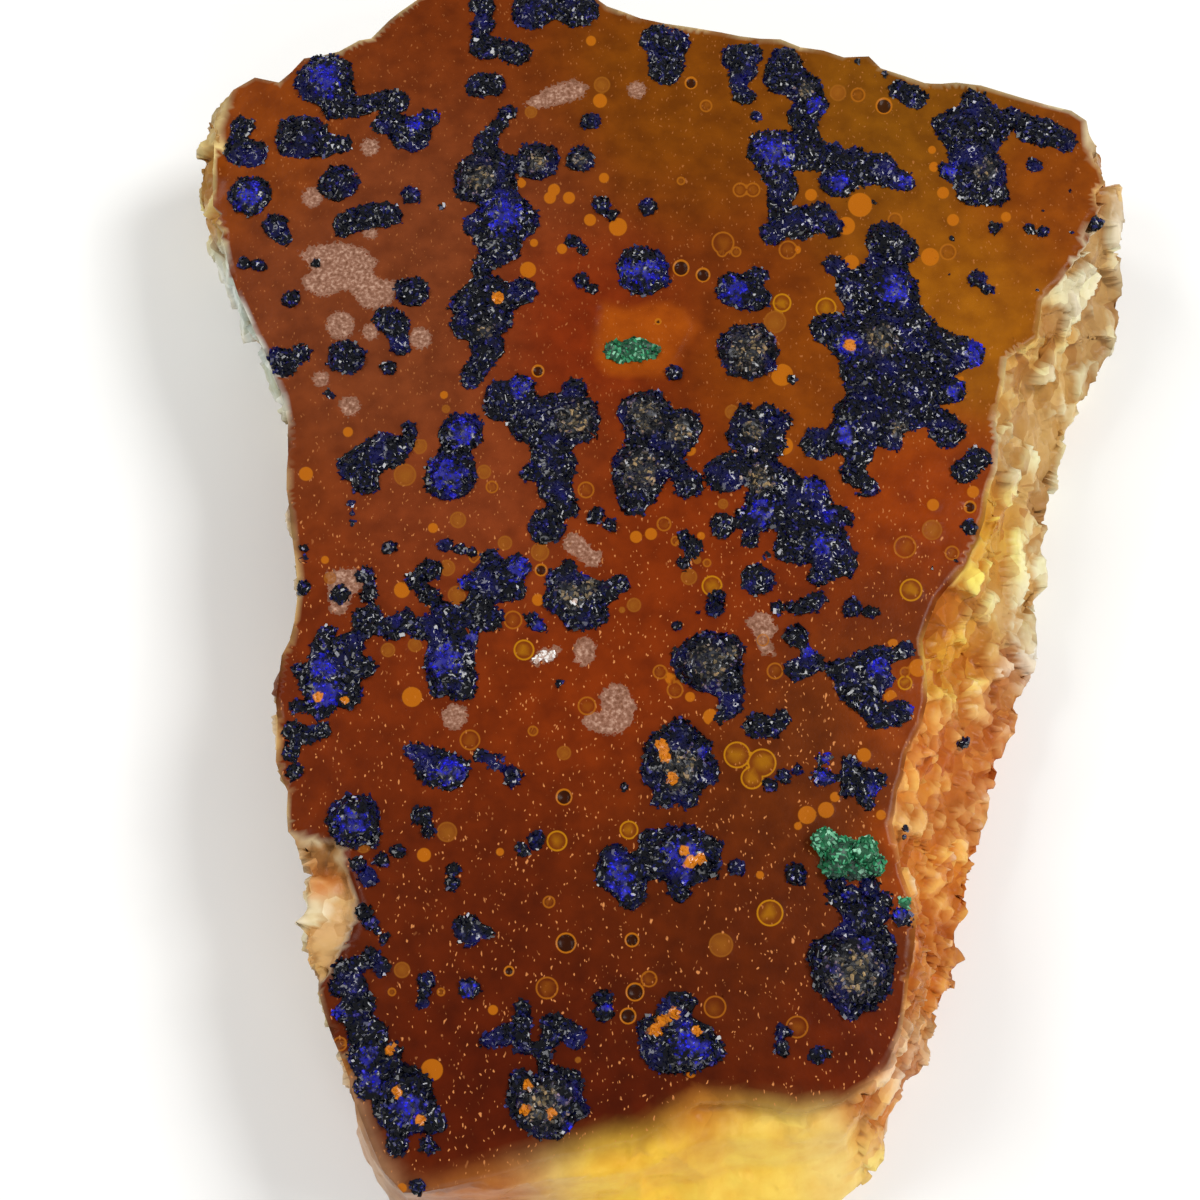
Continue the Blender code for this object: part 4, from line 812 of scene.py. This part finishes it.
# crystals over a bed: points on its faces, a turned crystal on each, all made real
def crystalNodes(crystal, spacing):
    group = bpy.data.node_groups.new("growCrystals", "GeometryNodeTree")
    group.interface.new_socket("Geometry", in_out="INPUT", socket_type="NodeSocketGeometry")
    group.interface.new_socket("Geometry", in_out="OUTPUT", socket_type="NodeSocketGeometry")
    bed = addNode(group, "NodeGroupInput").outputs[0]
    points = addNode(group, "GeometryNodeDistributePointsOnFaces", {"distribute_method": "POISSON"}, {0: bed})
    points.inputs["Distance Min"].default_value = spacing * mm
    points.inputs["Density Max"].default_value = 1.6 / (spacing * mm) ** 2
    points.inputs["Seed"].default_value = 4
    shape = addNode(group, "GeometryNodeObjectInfo", {0: crystal})
    tilt = crust["tilt"]
    turns = {"data_type": "FLOAT_VECTOR", 0: (-tilt, -tilt, 0.0), 1: (tilt, tilt, math.tau)}
    turn = addNode(group, "FunctionNodeRandomValue", turns)
    turned = addNode(group, "FunctionNodeRotateRotation", {"rotation_space": "LOCAL"},
                     {0: points.outputs["Rotation"], 1: turn})
    size = addNode(group, "FunctionNodeRandomValue", {"data_type": "FLOAT", 2: 0.65, 3: 1.35})
    blue = addNode(group, "GeometryNodeInputNamedAttribute", {"data_type": "FLOAT", 0: "blue"})
    shrink = {"operation": "MULTIPLY_ADD", 1: -crust["velvetShrink"], 2: 1.0}
    less = addNode(group, "ShaderNodeMath", shrink, {0: blue})
    scale = addNode(group, "ShaderNodeMath", {"operation": "MULTIPLY"}, {0: size, 1: less})
    grown = addNode(group, "GeometryNodeInstanceOnPoints", None, {
        "Points": points, "Instance": shape.outputs["Geometry"], "Rotation": turned, "Scale": scale})
    tone = addNode(group, "FunctionNodeRandomValue", {"data_type": "FLOAT", 2: 0.0, 3: 1.0, 8: 9})
    toned = addNode(group, "GeometryNodeStoreNamedAttribute", {"data_type": "FLOAT", "domain": "INSTANCE"},
                    {0: grown, "Value": tone})
    toned.inputs["Name"].default_value = "tone"
    real = addNode(group, "GeometryNodeRealizeInstances", None, {0: toned})
    both = addNode(group, "GeometryNodeJoinGeometry")
    group.links.new(bed, both.inputs[0])
    group.links.new(real.outputs[0], both.inputs[0])
    group.links.new(both.outputs[0], addNode(group, "NodeGroupOutput").inputs[0])
    return group


# grows the crystals on a bed mesh and gives back the finished mesh
def grow(mesh, name, group):
    carrier = bpy.data.objects.new(name + "_bed", mesh)
    bpy.context.scene.collection.objects.link(carrier)
    carrier.modifiers.new("crystals", "NODES").node_group = group
    graph = bpy.context.evaluated_depsgraph_get()
    finished = bpy.data.meshes.new_from_object(carrier.evaluated_get(graph))
    finished.name = name
    bpy.data.objects.remove(carrier)
    finished.materials.clear()
    return finished


def lumpy(work, sink):
    work.normal_update()
    lumpShare, chunkShare, less = crust["lumpShares"]
    moves = []
    for vert in work.verts:
        place = vert.co / mm
        lump = fractal(place, crust["lumpSize"], 2)
        chunk = blockHeight(place, crust["lumpSize"])
        moves.append(vert.normal * crust["lumpDepth"] * (lumpShare * lump + chunkShare * chunk - less) * mm)
    for vert, move in zip(work.verts, moves):
        vert.co += move
        vert.co.z -= sink * mm


# one small growth on whatever lies there: a flattened ball, which lumpy then breaks up
def addGrowth(work, place, radius):
    made = bmesh.ops.create_icosphere(work, subdivisions=2, radius=radius * mm)["verts"]
    bmesh.ops.scale(work, vec=(1.0, 1.0, crust["flatness"]), verts=made)
    bmesh.ops.translate(work, vec=place, verts=made)


def crustMesh(work, name):
    mesh = bpy.data.meshes.new(name)
    work.to_mesh(mesh)
    work.free()
    spots = toPixels(coordinates(mesh))
    setNumbers(mesh, "blue", spotStrength(spots, velvet, 0.15))
    setNumbers(mesh, "dust", spotStrength(spots, dust, 0.3))
    setNumbers(mesh, "grain", spotStrength(spots, orangeGrains, 0.8))
    setNumbers(mesh, "shade", 0.85 * spotStrength(spots, malachiteShade, 0.3))
    mesh.shade_smooth()
    return mesh


def crustEdges(middles):
    return np.full(len(middles), crust["edge"] * mm * (1.0))


def finishCrust(mesh, name, slot, material, group, nodes):
    finished = grow(mesh, name, group)
    flat = coordinates(finished)
    flat = np.clip(flat, np.array(cadBox[0]), np.array(cadBox[1]))
    finished.vertices.foreach_set("co", flat.astype(np.float32).ravel())
    finished.validate()
    finished.update()
    finished.materials.append(material)
    newPiece(name, finished, slot, *nodes)


# azurite: near-black blue crystals with glassy faces, electric blue velvet where they are finest
def azuriteCrystals():
    material, tree, shader = newMaterial("azuriteCrystals", 0.2, 1.73, 0.22)
    mix = "ShaderNodeMix"
    sums = "ShaderNodeMath"
    rescale = "ShaderNodeMapRange"
    plain = {"data_type": "RGBA"}
    where = addNode(tree, "ShaderNodeTexCoord").outputs["Object"]
    fine = addNode(tree, "ShaderNodeTexNoise", {2: perMillimetre(0.7), 3: 3.0}, {0: where})
    broad = addNode(tree, "ShaderNodeTexNoise", {2: perMillimetre(3.0), 3: 4.0}, {0: where})
    named = {}
    for name in ("tone", "blue", "dust", "grain"):
        named[name] = addNode(tree, "ShaderNodeAttribute", {"attribute_name": name})
    darkStops = {"stops": [(0.0, "#03040A"), (0.5, "#070918"), (0.8, "#0C1030"), (1.0, "#161C50")]}
    darks = addNode(tree, "ShaderNodeValToRGB", darkStops, {0: named["tone"]})
    # some stretches of the dark crystals are a shade bluer
    tinge = addNode(tree, rescale, {1: 0.54, 2: 0.7, 3: 0.0, 4: 0.6}, {0: broad})
    darks = addNode(tree, mix, {**plain, 7: "#14145E"}, {0: tinge, 6: darks})
    blueStops = {"stops": [(0.15, "#030330"), (0.42, "#0505A0"), (0.62, "#0808E8"), (1.0, "#1430FF")]}
    blueTone = addNode(tree, mix, {"data_type": "FLOAT", 0: 0.5}, {2: named["tone"], 3: fine})
    blues = addNode(tree, "ShaderNodeValToRGB", blueStops, {0: blueTone})
    dustStops = {"stops": [(0.0, "#14161E"), (0.35, "#403C32"), (0.7, "#7A6A4A"), (1.0, "#BC9C66")]}
    dusts = addNode(tree, "ShaderNodeValToRGB", dustStops, {0: named["tone"]})
    grainy = addNode(tree, rescale, {1: 0.35, 2: 0.65, 3: -0.5, 4: 0.5}, {0: fine})
    blue = addNode(tree, sums, {"operation": "ADD"}, {0: named["blue"], 1: grainy})
    blue = addNode(tree, rescale, {1: 0.35, 2: 1.0}, {0: blue})
    dusty = addNode(tree, sums, {"operation": "ADD"}, {0: named["dust"], 1: grainy})
    dusty = addNode(tree, rescale, {1: 0.4, 2: 1.1, 3: 0.0, 4: 0.85}, {0: dusty})
    colour = addNode(tree, mix, plain, {0: blue, 6: darks, 7: blues})
    colour = addNode(tree, mix, plain, {0: dusty, 6: colour, 7: dusts})
    grain = addNode(tree, rescale, {1: 0.3, 2: 0.6}, {0: named["grain"]})
    colour = addNode(tree, mix, {**plain, 7: "#C8740E"}, {0: grain, 6: colour})
    tree.links.new(colour.outputs[2], shader.inputs["Base Color"])
    rough = addNode(tree, sums, {"operation": "MAXIMUM"}, {0: blue, 1: dusty})
    rough = addNode(tree, rescale, {1: 0.0, 2: 1.0, 3: 0.15, 4: 0.5}, {0: rough})
    tree.links.new(rough.outputs[0], shader.inputs["Roughness"])
    return material


# quartz grains: white and glassy; their pure white is partly clear quartz and partly a painted glint
def quartzAndPaintedGlint():
    material, tree, shader = newMaterial("quartzGrainsAndPaintedGlints", 0.15, 1.54, 0.5)
    stops = {"stops": [(0.0, "#B89E90"), (0.4, "#E6DED6"), (1.0, "#FFFFFF")]}
    tone = addNode(tree, "ShaderNodeAttribute", {"attribute_name": "tone"})
    colour = addNode(tree, "ShaderNodeValToRGB", stops, {0: tone})
    tree.links.new(colour.outputs[0], shader.inputs["Base Color"])
    return material


# malachite: silky green tufts, pale green at random, partly their own colour and partly painted sheen
def malachiteTufts():
    material, tree, shader = newMaterial("malachiteTufts", 0.45, 1.66, 0.3)
    where = addNode(tree, "ShaderNodeTexCoord").outputs["Object"]
    fine = addNode(tree, "ShaderNodeTexNoise", {2: perMillimetre(1.6), 3: 4.0}, {0: where})
    named = {}
    for name in ("tone", "shade"):
        named[name] = addNode(tree, "ShaderNodeAttribute", {"attribute_name": name})
    tone = addNode(tree, "ShaderNodeMix", {"data_type": "FLOAT", 0: 0.55}, {2: named["tone"], 3: fine})
    # the palest green stop is partly painted sheen
    stops = {"stops": [(0.2, "#0A3020"), (0.42, "#17683F"), (0.58, "#2C9664"), (0.82, "#A4DEBC")]}
    greens = addNode(tree, "ShaderNodeValToRGB", stops, {0: tone})
    # the lower side of the big patch passes into the dark azurite under it
    shaded = {"data_type": "RGBA", 7: "#0A1E1C"}
    greens = addNode(tree, "ShaderNodeMix", shaded, {0: named["shade"], 6: greens})
    tree.links.new(greens.outputs[2], shader.inputs["Base Color"])
    return material


def buildCrusts():
    crystal = makeCrystal()
    spacing = crust["spacing"] * 1.0
    group = crystalNodes(crystal, spacing)
    azurite = azuriteCrystals()
    malachite = malachiteTufts()
    slots = {row["node"]: row["material_slot"] for row in frame["record"]["subparts"]}
    for node in crustNodes:
        work = mergedCopy(node)
        refine(work, crustEdges, 5)
        # the chip's floor has risen to the small malachite, so that one stays where it is
        lumpy(work, 0.0 if node == "malachite_small" else crust["settle"])
        material = malachite if node.startswith("malachite") else azurite
        finishCrust(crustMesh(work, node), node + "_crystals", slots[node], material, group, [node])
    print("crusts:", len(crustNodes))
    work = bmesh.new()
    middle = photoView["middlePixel"]
    perMm = photoView["pixelsPerMm"]
    for across, along, radius in smallAzurite:
        addGrowth(work, toSurface(middle + perMm * across, middle - perMm * along, slabTree), radius)
    lumpy(work, 0.0)
    mesh = crustMesh(work, "small_azurite")
    finishCrust(mesh, "small_azurite_crystals", "azurite", azurite, group, [])
    # grains of quartz, partly painted glints, and lobes that round off the big malachite, on whatever lies
    # there
    upper = solidsTree(["matrix", *crustNodes])
    lobes = [("quartz_grains", "quartz", quartzAndPaintedGlint(), quartzGrainsAndGlints),
             ("malachite_lobes", "malachite", malachite, malachiteLobes),
             ("low_azurite_lobes", "azurite", azurite, lowAzurite)]
    for name, slot, material, readings in lobes:
        work = bmesh.new()
        for px, py, reach in readings:
            addGrowth(work, toSurface(px, py, upper), reach / perMm)
        lumpy(work, 0.0)
        finishCrust(crustMesh(work, name), name, slot, material, group, [])
    bpy.data.objects.remove(crystal)
    counts = [len(piece.data.polygons) for piece in bpy.data.objects if piece.name.endswith("_crystals")]
    print("crystal triangles or quads:", sum(counts), "most in one piece:", max(counts))


buildCrusts()


# plain pale floor and soft light
studio = {
    "floorSize": 3.0,        # m
    "floorColour": "#F6F6F4",
    "world": 0.3,
    # no light stands where the flat face would mirror it to the camera
    "key": (2.2, 0.2, (0.36, 0.10, 0.50)),       # watts, size, place
    "fill": (1.1, 0.24, (-0.38, 0.05, 0.48)),
    "front": (0.9, 0.3, (0.12, -0.48, 0.26)),
    "glints": [(0.5, 0.12, (-0.30, 0.34, 0.36)), (0.1, 0.03, (0.34, -0.10, 0.40))],
    "aim": (0, 0, 0.02),     # every light points here
}


def addLight(name, watts, size, place):
    light = bpy.data.lights.new(name, "AREA")
    light.energy = watts
    light.size = size
    lamp = bpy.data.objects.new(name, light)
    bpy.context.scene.collection.objects.link(lamp)
    lamp.location = place
    lamp.rotation_euler = (Vector(studio["aim"]) - Vector(place)).to_track_quat("-Z", "Y").to_euler()


def buildStudio():
    work = bmesh.new()
    bmesh.ops.create_grid(work, x_segments=1, y_segments=1, size=studio["floorSize"] / 2)
    mesh = bpy.data.meshes.new("floor")
    work.to_mesh(mesh)
    work.free()
    floor = bpy.data.objects.new("floor", mesh)
    bpy.context.scene.collection.objects.link(floor)
    material, _, shader = newMaterial("paleFloor", 0.9, 1.45, 0.2)
    shader.inputs["Base Color"].default_value = (*linear(studio["floorColour"]), 1.0)
    mesh.materials.append(material)
    world = bpy.data.worlds.new("studio")
    world.use_nodes = True
    world.node_tree.nodes["Background"].inputs[0].default_value = (1.0, 1.0, 1.0, 1.0)
    world.node_tree.nodes["Background"].inputs[1].default_value = studio["world"]
    bpy.context.scene.world = world
    addLight("key", *studio["key"])
    addLight("fill", *studio["fill"])
    addLight("front", *studio["front"])
    for number, glint in enumerate(studio["glints"]):
        addLight("glint" + str(number + 1), *glint)
    bpy.context.scene.view_settings.view_transform = "Standard"


buildStudio()
print("studio ready")
